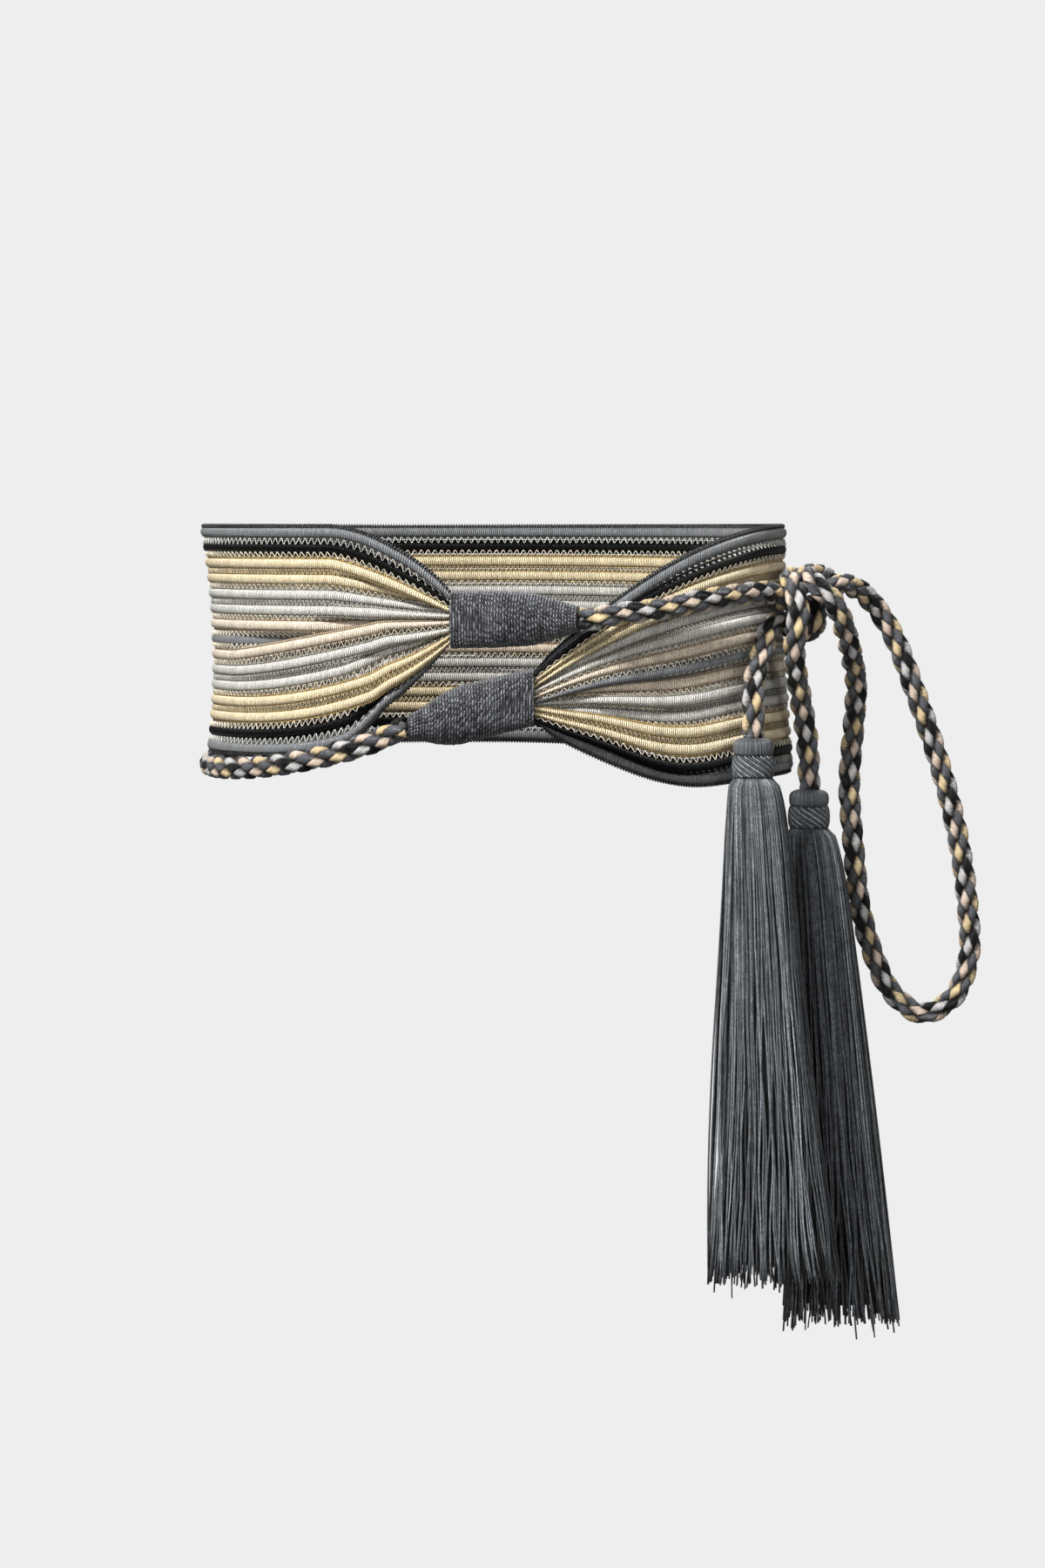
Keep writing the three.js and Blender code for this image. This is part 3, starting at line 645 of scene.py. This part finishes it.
def shaded(shader, tint, brightness):
    """The tint, a colour or a value, times a brightness and the shade of the points."""
    tree = brightness.tree
    level = brightness * node(tree, "ShaderNodeAttribute", {}, "Fac", attribute_name="shade")
    grey = node(tree, "ShaderNodeCombineXYZ", {0: level, 1: level, 2: level})
    factors = {0: 1.0, 6: tint if isinstance(tint, Value) else linear(tint), 7: grey}
    colour = node(tree, "ShaderNodeMix", factors, 2, data_type="RGBA", blend_type="MULTIPLY")
    tree.links.new(colour.socket, shader.inputs["Base Color"])


def bumped(shader, height, distance):
    bump = node(height.tree, "ShaderNodeBump", {"Height": height, "Distance": distance, "Strength": 1.0})
    height.tree.links.new(bump.socket, shader.inputs["Normal"])


def wound_core(across, along, grain):
    """Ridge and brightness of the thread wound closely round a rib's core, the grooves between its turns
    painted darker as painted shade.
    """
    turns = (along + across * WINDING_SLANT) / WINDING_PITCH
    ridge = wave(turns)
    each = random_of(turns.calc("FLOOR"))
    bright = remap(each, 0.84, 1.12) * remap(line_noise(along * 70), 0.88, 1.12)
    return ridge, bright * remap(ridge ** 0.7, 0.30, 1.26) * remap(grain, 0.4, 1.6)


def sewn_strip(out, along, grain):
    """Height and brightness of the flat strip beside the core, full of small stitches, and painted darker
    than the core as painted shade of the groove.
    """
    dots = (wave(along / SEWN_PITCH) * wave((out - CORE_SHARE) / (1 - CORE_SHARE))) ** 1.4
    return dots * 1.6, remap(dots, 0.05, 1.15) * remap(grain, 0.6, 1.4)


def rib_material(colour, roughness, specular, sheen):
    """A wound core between sewn strips. The map's u is the share across the rib, from -1 at the
    lower edge to 1 at the upper one, and v is metres along it."""
    material, tree, shader = new_material("rib_" + colour, TINTS[colour], roughness, specular, sheen)
    across, along = thread_place(tree)
    out = abs(across)
    edge = {0: out, 1: CORE_SHARE - CORE_EDGE, 2: CORE_SHARE + CORE_EDGE}
    flat = node(tree, "ShaderNodeMapRange", edge)
    grain = place_noise(tree, 1300)
    ridge, wound = wound_core(across, along, grain)
    dots, sewn = sewn_strip(out, along, grain)
    height = node(tree, "ShaderNodeMix", {0: flat, 2: ridge, 3: dots})
    bright = node(tree, "ShaderNodeMix", {0: flat, 2: wound, 3: sewn})
    tints = {0: flat, 6: linear(TINTS[colour]), 7: linear(SEWN_TINTS[colour])}
    shaded(shader, node(tree, "ShaderNodeMix", tints, 2, data_type="RGBA"), bright)
    bumped(shader, height, 0.0004)
    return material


def yarn_material(colour, roughness, specular):
    """Satin yarn: fine filaments along it. u goes once round the yarn, v is metres along it."""
    round_stretch, long_stretch = 7.0, 120.0
    tint = TINTS["yarn_" + colour]
    material, tree, shader = new_material("yarn_" + colour, tint, roughness, specular, 0.1)
    around, along = thread_place(tree)
    turn = around * (2 * math.pi)
    place = node(tree, "ShaderNodeCombineXYZ", {
        0: turn.calc("COSINE") * round_stretch, 1: turn.calc("SINE") * round_stretch,
        2: along * long_stretch})
    fibres = node(tree, "ShaderNodeTexNoise", {"Vector": place, "Scale": 1.8, "Detail": 3.0})
    patches = line_noise(along * 110.0, 1.0)
    shaded(shader, tint, remap(fibres, 0.35, 1.65) * remap(patches, 0.8, 1.18))
    bumped(shader, fibres, 0.0005)
    return material


def twisted_material(name, tint, turns_per_metre, roughness=0.42, speckle=0.4):
    """Fine twisted thread: slanting plies round it, random specks, and patches of painted highlight along it.
    """
    material, tree, shader = new_material(name, TINTS[tint], roughness, 0.6, 0.1)
    around, along = thread_place(tree)
    ply = wave((along * turns_per_metre + around) * 2.0)
    specks = remap(place_noise(tree, 900), 1 - speckle, 1 + speckle)
    # Patches of painted highlight, broken along the thread
    patches = remap(place_noise(tree, 220), 0.3, 1.7)
    shaded(shader, TINTS[tint], remap(ply, 0.5, 1.25) * (specks * patches))
    bumped(shader, ply, 0.00016)
    return material


def fibre_material(name, tint, count):
    """Fibres laid side by side. u goes once round the piece, and the fibres run across it."""
    material, tree, shader = new_material(name, TINTS[tint], 0.38, 0.6, 0.1)
    around, along = thread_place(tree)
    wander = line_noise(along * 300) * 1.2
    fibres = line_noise(around * count + wander, 3.0)
    shaded(shader, TINTS[tint], remap(fibres, -1.0, 2.9))
    bumped(shader, fibres, 0.0012)
    return material


def wound_material(name, tint, row_pitch):
    """Close turns of a thread that shows as a dash where it comes to the top, each dash painted
    bright as a painted highlight and painted shade between them. u is metres round the piece, v is
    metres along it."""
    material, tree, shader = new_material(name, TINTS[tint], 0.3, 0.7, 0.1)
    around, along = thread_place(tree)
    rows = along / row_pitch
    number = rows.calc("FLOOR")
    within = rows - number
    dashes = around / BINDING_DASH + random_of(number) * 3.0 + within * 0.3
    each = random_of(dashes.calc("FLOOR") + number * 37.0)
    raised = wave(dashes) ** 0.8 * wave(within)
    specks = remap(place_noise(tree, 1100), -0.6, 2.6) * remap(place_noise(tree, 260), 0.3, 1.7)
    # Painted highlight on each raised dash and painted shade between the dashes
    bright = remap(raised ** 2.0, 0.35, 2.6) * remap(each, 0.4, 1.8)
    shaded(shader, TINTS[tint], bright * specks)
    bumped(shader, raised, 0.0005)
    return material


def stage_material():
    material = bpy.data.materials.new("pale_stage")
    material.use_nodes = True
    tree = material.node_tree
    tree.nodes.remove(tree.nodes["Principled BSDF"])
    glow = node(tree, "ShaderNodeEmission", {"Color": linear(STAGE_TINT), "Strength": 1.0})
    tree.links.new(glow.socket, tree.nodes["Material Output"].inputs[0])
    return material


# Camera, lights and stage

def aimed(name, data, place, aim):
    """A new object that looks from its place at an aim."""
    made = bpy.data.objects.new(name, data)
    made.location = place
    made.rotation_euler = (aim - Vector(place)).to_track_quat("-Z", "Y").to_euler()
    bpy.context.scene.collection.objects.link(made)
    return made


def make_camera():
    camera = aimed("camera", bpy.data.cameras.new("camera"), EYE, AIM)
    camera.data.lens = LENS
    camera.data.clip_end = 40
    bpy.context.scene.camera = camera


def make_lights():
    for row in LIGHTS:
        lamp = bpy.data.lights.new(row["name"], "AREA")
        lamp.shape = "DISK"
        lamp.size = row["size"]
        lamp.energy = row["power"]
        aimed(row["name"], lamp, row["place"], LIGHT_AIM)
    world = bpy.data.worlds.new("room")
    world.use_nodes = True
    sky = world.node_tree.nodes["Background"]
    sky.inputs["Color"].default_value = (1, 1, 1, 1)
    sky.inputs["Strength"].default_value = ROOM_LIGHT
    bpy.context.scene.world = world
    bpy.context.scene.view_settings.view_transform = "Standard"


def make_stage():
    """Pale floor that turns up into a round pale wall."""
    profile = [(radius, FLOOR_HEIGHT) for radius in (STAGE_MIDDLE, FLOOR_RADIUS / 2, FLOOR_RADIUS)]
    for step in range(1, BEND_STEPS + 1):
        turn = math.pi / 2 * step / BEND_STEPS
        rise = WALL_BEND * (1 - math.cos(turn))
        profile.append((FLOOR_RADIUS + WALL_BEND * math.sin(turn), FLOOR_HEIGHT + rise))
    profile += [(FLOOR_RADIUS + WALL_BEND, WALL_TOP), (STAGE_MIDDLE, WALL_TOP)]
    turns = full_turn(STAGE_SIDES)
    rings = np.array([[(r * np.cos(t), r * np.sin(t), z) for t in turns] for r, z in profile])[None]
    stage = Bundle().add(rings, run_length(rings[:, :, 0])).make("stage", [stage_material()])
    stage.visible_diffuse = stage.visible_glossy = stage.visible_shadow = False


# Cords

def route_line(points, step):
    """Evenly spaced points of a smooth curve through the route's points."""
    points = np.array(points)
    ends = [2 * points[:1] - points[1:2], points, 2 * points[-1:] - points[-2:-1]]
    full = np.concatenate(ends)
    knots = np.concatenate([[0], np.cumsum(np.linalg.norm(np.diff(full, axis=0), axis=1) ** 0.5)])
    dense = []
    for k in range(1, len(full) - 2):
        marks = knots[k - 1:k + 3]
        start, end = marks[1:3]
        t = np.linspace(start, end, ROUTE_FINENESS, endpoint=False)[:, None]
        level = full[k - 1:k + 3]
        for reach in (1, 2):
            shares = [(t - marks[i]) / (marks[i + reach] - marks[i]) for i in range(4 - reach)]
            level = [mix(level[i], level[i + 1], share) for i, share in enumerate(shares)]
        dense.append(mix(*level, (t - start) / (end - start)))
    dense = np.concatenate(dense + [points[-1:]])
    lengths = run_length(dense)
    even = np.linspace(0, lengths[-1], int(lengths[-1] / step) + 1)
    return np.stack([np.interp(even, lengths, dense[:, axis]) for axis in range(3)], -1), even


def carried_frames(line):
    """Two directions across a line that turn no more than the line does."""
    along = unit(np.gradient(line, axis=0))
    across = np.zeros_like(line)
    across[0] = unit(np.cross(along[0], np.array([0, 1.0, 0])))
    for k in range(1, len(line)):
        moved = across[k - 1] - along[k] * np.dot(across[k - 1], along[k])
        across[k] = moved / np.linalg.norm(moved)
    return across, np.cross(along, across)


def make_cord(name, points, start_turn, yarns, nodes):
    line, lengths = route_line(points, YARN_STEP)
    across, over = carried_frames(line)
    centres, ups, slots = [], [], []

    def pointing(turn):
        return across * np.cos(turn)[:, None] + over * np.sin(turn)[:, None]

    for number, colours in enumerate(STRANDS):
        strand_turn = start_turn + 2 * np.pi * (lengths / STRAND_LAY + number / len(STRANDS))
        for half, colour in enumerate(colours):
            yarn_turn = start_turn - 2 * np.pi * lengths / YARN_LAY + np.pi * half
            up = pointing(yarn_turn)
            centres.append(line + STRAND_OFFSET * pointing(strand_turn) + YARN_OFFSET * up)
            ups.append(up)
            slots.append(list(yarns).index(colour))
    paths = np.stack(centres)
    rings = strand(paths, np.stack(ups), YARN_HALF_WIDTH, YARN_HALF_DEPTH, YARN_SIDES)
    # Painted shade: each point of a yarn is painted darker the deeper it lies in the cord
    depth = np.linalg.norm(rings - line[None, :, None], axis=-1)
    shown = smooth((depth - YARN_DARK_BELOW) / (YARN_BRIGHT_FROM - YARN_DARK_BELOW))
    shade = mix(YARN_DEEP_SHADE, 1, shown)
    threads = Bundle().add(rings, run_length(paths), slots=slots, shade=shade)
    piece = threads.make(name, list(yarns.values()))
    dress(piece, "cord_thread", *nodes)


# Ribs and their stitches

def section_rise(across):
    """Thickness of a rib across it, as a share of the full one: a round core between flat edges."""
    core = np.sqrt(clamp(1 - (across / CORE_SHARE) ** 2))
    return np.where(np.abs(across) < 1, mix(FLANGE_SHARE, 1, core), 0)


def rib_section():
    across = np.array(SECTION_ACROSS)
    rise = section_rise(across)
    return np.concatenate([across, across[-2:0:-1]]), np.concatenate([rise, -rise[-2:0:-1]])


def waist_angles(step):
    """Angles from the left mouth round the back to the right mouth, evenly spaced in length."""
    angles = np.linspace(LEFT_END, RIGHT_END, 4000)
    lengths = run_length(waist_point(angles))
    even = np.linspace(0, lengths[-1], int(lengths[-1] / step) + 1)
    return np.interp(even, lengths, angles), even


def make_ribs(materials):
    angles, lengths = waist_angles(RIB_STEP)
    heights, widths, thicknesses, depths = band_stations(angles)
    across, rise = rib_section()
    around = np.append(across, across[0])
    upper_step = unit(UPPER_AXIS["run"]) * RIBS_IN_BINDING
    lower_step = unit(LOWER_AXIS["run"]) * RIBS_IN_BINDING
    for index, rib in enumerate(RIBS):
        height = heights[index][:, None] + across * widths[index][:, None]
        out = rise * thicknesses[index][:, None] - depths[index][:, None]
        rings = band_point(np.broadcast_to(angles[:, None], height.shape), height, out)
        rings = np.concatenate([rings[:1] + upper_step, rings, rings[-1:] + lower_step])
        along = np.concatenate([[-RIBS_IN_BINDING], lengths, [lengths[-1] + RIBS_IN_BINDING]])
        # Painted shade: the ribs' inner side is painted darker
        shade = np.where(rise < 0, INNER_SHADE, 1)
        threads = Bundle().add(rings[None], along[None], around, shade=shade)
        name = f"rib_{index + 1:02d}_{rib['colour']}"
        piece = threads.make("wound_" + name, [materials[rib["colour"]]])
        dress(piece, rib["colour"] + "_thread", name)


def rib_surface(stations, index, angles, across, face):
    """Points on the outer (face 1) or inner (face -1) side of a rib, and a little above it."""
    heights, widths, thicknesses, depths = stations
    height = heights[index] + across * widths[index]
    rise = section_rise(across) * thicknesses[index] + STITCH_RISE
    return band_point(angles, height, face * rise - depths[index])


def seam_of(upper, lower):
    """Thread and zigzag that sew two ribs together."""
    if upper == lower:
        return upper, SEAMS["plain"]
    if {upper, lower} == {"slate", "black"}:
        return "silver", SEAMS["edge"]
    if upper in ("slate", "black"):
        return "ivory", SEAMS["over_upper"]
    if lower in ("slate", "black"):
        return "ivory", SEAMS["over_lower"]
    return "ivory", SEAMS["mixed"]


def make_stitches(threads):
    """Zigzag rows across every seam, outside and inside."""
    bundle = Bundle()
    for index in range(len(RIBS) - 1):
        thread, seam = seam_of(RIBS[index]["colour"], RIBS[index + 1]["colour"])
        slot = list(threads).index(thread)
        angles, _ = waist_angles(seam["pitch"] / 2)
        stations = band_stations(angles)
        peaks = np.arange(len(angles)) % 2 == 0
        # The stitches inside get the same painted shade
        for face, light in ((1, 1), (-1, INNER_SHADE)):
            upper = rib_surface(stations, index, angles, seam["upper"], face)
            lower = rib_surface(stations, index + 1, angles, seam["lower"], face)
            tips = np.where(peaks[:, None], upper, lower)
            near = mix(tips[:-1], tips[1:], STITCH_CORNER)
            far = mix(tips[:-1], tips[1:], 1 - STITCH_CORNER)
            path = np.stack([near, far], 1).reshape(-1, 3)[None]
            up = face * np.repeat(outward(angles[:-1]), 2, axis=0)[None]
            rings = strand(path, up, STITCH_RADIUS, STITCH_RADIUS, 3)
            bundle.add(rings, run_length(path), slots=slot, shade=seam["shade"] * light)
    dress(bundle.make("seam_stitches", list(threads.values())), "silver_thread")


def make_edging(material):
    """Thread turned over the top and the bottom edge."""
    angles, _ = waist_angles(EDGING["pitch"] / EDGING_STEPS)
    stations = band_stations(angles)
    turn = 2 * np.pi * np.arange(len(angles)) / EDGING_STEPS
    bundle = Bundle()
    for index, edge in ((0, 1), (LAST_RIB, -1)):
        heights, widths, _, depths = (values[index] for values in stations)
        middle = heights + edge * (widths - EDGING["inset"])
        height = middle + edge * EDGING["half_height"] * np.cos(turn)
        path = band_point(angles, height, EDGING["half_depth"] * np.sin(turn) - depths)[None]
        up = unit(path - band_point(angles, middle, -depths)[None])
        rings = strand(path, up, EDGING["radius"], EDGING["radius"], 3)
        bundle.add(rings, run_length(path))
    dress(bundle.make("edge_stitches", [material]), "black_thread")


# Bindings

def binding_base():
    height = MOUTH_ROWS * MOUTH_PITCH / 2 + MOUTH_ROOM["height"] + BINDING_WALL
    depth = (TUCK_DEPTH + MOUTH_THICKNESS) / 2 + MOUTH_ROOM["depth"] + BINDING_WALL
    return height, depth


def make_binding(name, axis, outline, material, seed):
    """Wound sleeve: its outline, with a ridge for each turn of thread, open at the mouth."""
    base_height, base_depth = binding_base()
    tip = CORD_DIAMETER / 2 + TIP_WALL
    length = np.linalg.norm(axis["run"])
    share = np.linspace(0, 1, int(length / BINDING_RING_STEP))
    stops = np.append(outline["along"], 1)
    half_height = smooth_outline(share, stops, np.append(np.multiply(outline["height"], base_height), tip))
    half_depth = smooth_outline(share, stops, np.append(np.multiply(outline["depth"], base_depth), tip))
    power = mix(BINDING_CORNERS["mouth"], BINDING_CORNERS["tip"], clamp(2 * share))[:, None]
    rows = share * length / BINDING_ROW
    uneven = np.random.default_rng(seed).uniform(-BINDING_UNEVENNESS, BINDING_UNEVENNESS, int(rows[-1]) + 2)
    ridge = BINDING_RIDGE * (np.sqrt(np.abs(np.sin(np.pi * rows))) - 1) + uneven[np.floor(rows).astype(int)]
    turn = full_turn(BINDING_SIDES)[None]

    def bulge(value):
        return np.sign(value) * np.abs(value) ** (2 / power)

    deep = (half_depth + ridge)[:, None] * bulge(np.cos(turn))
    high = (half_height + ridge)[:, None] * bulge(np.sin(turn))
    middle = axis["start"] + share[:, None] * axis["run"]
    rings = middle[:, None] + deep[..., None] * axis["out"]
    rings[..., 2] += high
    inner = mix(middle[0], rings[0], 1 - BINDING_LIP["share"])
    deeper = inner + unit(axis["run"]) * BINDING_LIP["depth"]
    end = mix(middle[-1], rings[-1], BINDING_END["share"]) - unit(axis["run"]) * BINDING_END["depth"]
    rings = np.concatenate([deeper[None], inner[None], rings, end[None]])
    lip = BINDING_LIP["along"]
    along = np.concatenate([[-2 * lip, -lip], share * length, [length + lip]])
    around = np.linspace(0, np.pi * (base_height + base_depth), BINDING_SIDES + 1)
    threads = Bundle().add(rings[None], along[None], around)
    dress(threads.make("wound_" + name, [material]), "binding_thread", name)


def smooth_outline(share, stops, values):
    """Values between the stops on a curve that bends evenly."""
    slopes = np.gradient(values, stops)
    slopes[0] = 0
    place = np.clip(np.searchsorted(stops, share, side="right") - 1, 0, len(stops) - 2)
    width = stops[place + 1] - stops[place]
    t = (share - stops[place]) / width
    bend = width * t * (1 - t) * mix(slopes[place], -slopes[place + 1], t)
    return mix(values[place], values[place + 1], smooth(t)) + bend


# Tassels

def make_dome(row, top, material):
    stops = np.arange(len(DOME_OUTLINE))
    dense = np.linspace(0, stops[-1], DOME_RINGS)
    radius, height = (np.interp(dense, stops, column)[:, None] for column in zip(*DOME_OUTLINE))
    turn = full_turn(DOME_SIDES)
    rings = np.stack([radius * np.cos(turn), radius * np.sin(turn), height + 0 * turn], -1) + top
    dome = Bundle().add(rings[None], run_length(rings[None, :, 0]))
    dress(dome.make(row["name"] + "_dome", [material]), "tassel_thread")


def skirt_place(row, share, ring, turn):
    """A point of the skirt, ring 1 on its surface and 0 in its middle."""
    shoulder = SKIRT_SHOULDER["rise"] * (1 - np.exp(-share * SKIRT_LENGTH / SKIRT_SHOULDER["length"]))
    spread = row["foot"] - SKIRT_TOP_RADIUS - SKIRT_SHOULDER["rise"]
    radius = ring * (SKIRT_TOP_RADIUS + shoulder + spread * share ** SKIRT_FLARE)
    flatness = mix(1, SKIRT_FLATNESS, smooth(3 * share))
    right = row["swing"] * share ** SKIRT_SWING_POWER + radius * np.cos(turn)
    height = -DOME_HEIGHT - NECK_HEIGHT - SKIRT_LENGTH * share
    return np.stack([right, radius * flatness * np.sin(turn), height], -1)


def thread_sway(random, share):
    """How far each thread sways round the skirt, in slow waves and in quick ones."""
    one_each = (len(share), 1)
    sway = 0
    for waves, most in SKIRT_SWAY_OF_WAVES.items():
        size = most * random.uniform(-1, 1, one_each)
        start = random.uniform(0, 2 * np.pi, one_each)
        sway = sway + size * np.sin(np.pi * waves * share + start)
    return sway


def skirt_threads(row, layer, random):
    """Paths, outward directions and brightness of one layer of threads."""
    stray = layer is SKIRT_LAYERS[-1]
    one_each = (layer["threads"], 1)
    cut = random.uniform(SKIRT_CUT["shortest"], SKIRT_CUT["longest"], one_each)
    cut = cut + random.exponential(SKIRT_CUT["uneven"], one_each)
    share = np.linspace(0, 1, SKIRT_STEPS) ** SKIRT_STEP_POWER * np.minimum(cut, 1)
    sway = thread_sway(random, share)
    places = np.arange(layer["threads"])[:, None] + random.uniform(-1, 1, one_each) * SKIRT_LOOSENESS["place"]
    turns = 2 * np.pi * places / layer["threads"]
    if stray:
        turns = row["stray_turn"] + random.uniform(-1, 1, one_each) * SKIRT_STRAY["turn"]
    turns = turns + sway * share ** SKIRT_LOOSENESS["sway_power"]
    ring = layer["ring"] + layer["change"] * random.uniform(-1, 1, one_each)
    ring = ring - SKIRT_WAIST * np.sin(np.pi * share) ** 0.7
    bow = row["stray_bow"] * random.uniform(SKIRT_STRAY["least_bow"], 1, one_each)
    ring = ring + (bow * np.sin(np.pi * share) if stray else SKIRT_LOOSENESS["sway_out"] * sway)
    # Inner layers get painted shade; each thread's tone also differs at random
    shade = layer["shade"] * np.exp(random.normal(0, SKIRT_SPREAD, one_each))
    shade = shade * mix(SKIRT_DARKENING_DOWNWARD["top"], SKIRT_DARKENING_DOWNWARD["foot"], share)
    paths = skirt_place(row, share, ring, turns)
    paths[:, 0, :2] *= SKIRT_PULL_IN
    ups = np.stack([np.cos(turns), np.sin(turns), 0 * turns], -1)
    return paths, ups, shade[..., None]


def skirt_core(row):
    """Rings of the dark middle that the threads hide, a sheet of painted shade showing through their gaps."""
    share = np.linspace(0, SKIRT_CORE["length"], CORE_RINGS)[:, None]
    turn = full_turn(CORE_SIDES)[None]
    return skirt_place(row, *np.broadcast_arrays(share, SKIRT_CORE["ring"], turn))


def make_skirt(row, top, material):
    """Layers of loose threads that sway round the skirt, and a few that stray out of it."""
    random = np.random.default_rng(row["seed"])
    bundle = Bundle()
    for layer in SKIRT_LAYERS:
        paths, ups, shade = skirt_threads(row, layer, random)
        rings = strand(paths + top, ups, SKIRT_THREAD, SKIRT_THREAD, 4)
        bundle.add(rings, run_length(paths), shade=shade)
    core = skirt_core(row) + top
    bundle.add(core[None], run_length(core[None, :, 0]), shade=SKIRT_CORE["shade"])
    dress(bundle.make(row["name"] + "_skirt", [material]), "tassel_thread", row["name"])


def make_wrap(row, top, material):
    """Threads side by side, slanting round the neck."""
    number = np.arange(WRAP_THREADS)
    middle = WRAP_RADIUS - WRAP_THREAD_RADIUS
    height = NECK_HEIGHT - 2 * WRAP_THREAD_RADIUS
    down = np.linspace(0, 1, WRAP_STEPS)
    turn = 2 * np.pi * number[:, None] / WRAP_THREADS + down * height / math.tan(WRAP_SLOPE) / middle
    bulge = middle - WRAP_NARROWING * np.abs(2 * down - 1) ** 3
    out = np.stack([np.cos(turn), np.sin(turn), 0 * turn], -1)
    paths = out * bulge[:, None] + top
    paths[..., 2] -= DOME_HEIGHT + WRAP_THREAD_RADIUS + down * height
    rings = strand(paths, out, WRAP_THREAD_RADIUS, WRAP_THREAD_RADIUS, WRAP_SIDES)
    # Painted highlight along each thread's top and painted shade at its sides and in the gaps
    clear = np.linalg.norm((rings - top)[..., :2], axis=-1) - bulge[None, :, None]
    light = clamp(clear / WRAP_THREAD_RADIUS) ** WRAP_LIGHT["power"]
    random = np.random.default_rng(row["seed"])
    uneven = random.uniform(WRAP_LIGHT["least"], WRAP_LIGHT["most"], (WRAP_THREADS, 1, 1))
    shade = mix(WRAP_LIGHT["deep"], WRAP_LIGHT["top"], light) * uneven
    shade = shade * np.where(number % 2 == 0, *WRAP_SHADES)[:, None, None]
    threads = Bundle().add(rings, run_length(paths), shade=shade)
    dress(threads.make(row["name"] + "_neck_wrap", [material]), "tassel_thread", row["name"] + "_wrap")


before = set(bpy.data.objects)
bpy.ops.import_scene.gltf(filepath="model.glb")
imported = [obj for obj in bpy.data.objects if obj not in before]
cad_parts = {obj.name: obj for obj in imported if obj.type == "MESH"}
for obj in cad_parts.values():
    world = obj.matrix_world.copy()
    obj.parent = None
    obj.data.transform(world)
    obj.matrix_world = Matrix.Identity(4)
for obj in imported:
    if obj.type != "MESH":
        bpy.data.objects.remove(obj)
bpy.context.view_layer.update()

make_camera()

yarns = {colour: yarn_material(colour, *finish["yarn"]) for colour, finish in FINISHES.items()}
make_cord(
    "laid_cord_upper", UPPER_ROUTE, 0.0, yarns, ["cord_front_run", "knot", "cord_loop", "cord_tail_front"])
make_cord("laid_cord_lower", LOWER_ROUTE, 1.0, yarns, ["cord_back_run", "cord_tail_rear"])

make_ribs({colour: rib_material(colour, *finish["rib"]) for colour, finish in FINISHES.items()})
make_stitches({
    tint: twisted_material("stitch_" + tint, tint, 900) for tint in ("ivory", "gold", "silver")})
make_edging(twisted_material("edge_thread", "edge", 900))

binding_thread = wound_material("binding_thread", "binding", BINDING_ROW)
make_binding("binding_upper", UPPER_AXIS, UPPER_OUTLINE, binding_thread, 5)
make_binding("binding_lower", LOWER_AXIS, LOWER_OUTLINE, binding_thread, 6)

tassel_thread = twisted_material("tassel_thread", "tassel", 700, roughness=0.3, speckle=1.4)
dome_thread = fibre_material("dome_thread", "tassel", 90)
tops = [np.array(UPPER_ROUTE[-1]), np.array(LOWER_ROUTE[-1])]
for row, top in zip(TASSELS, tops):
    make_dome(row, top, dome_thread)
    make_skirt(row, top, tassel_thread)
    make_wrap(row, top, tassel_thread)

make_lights()
make_stage()
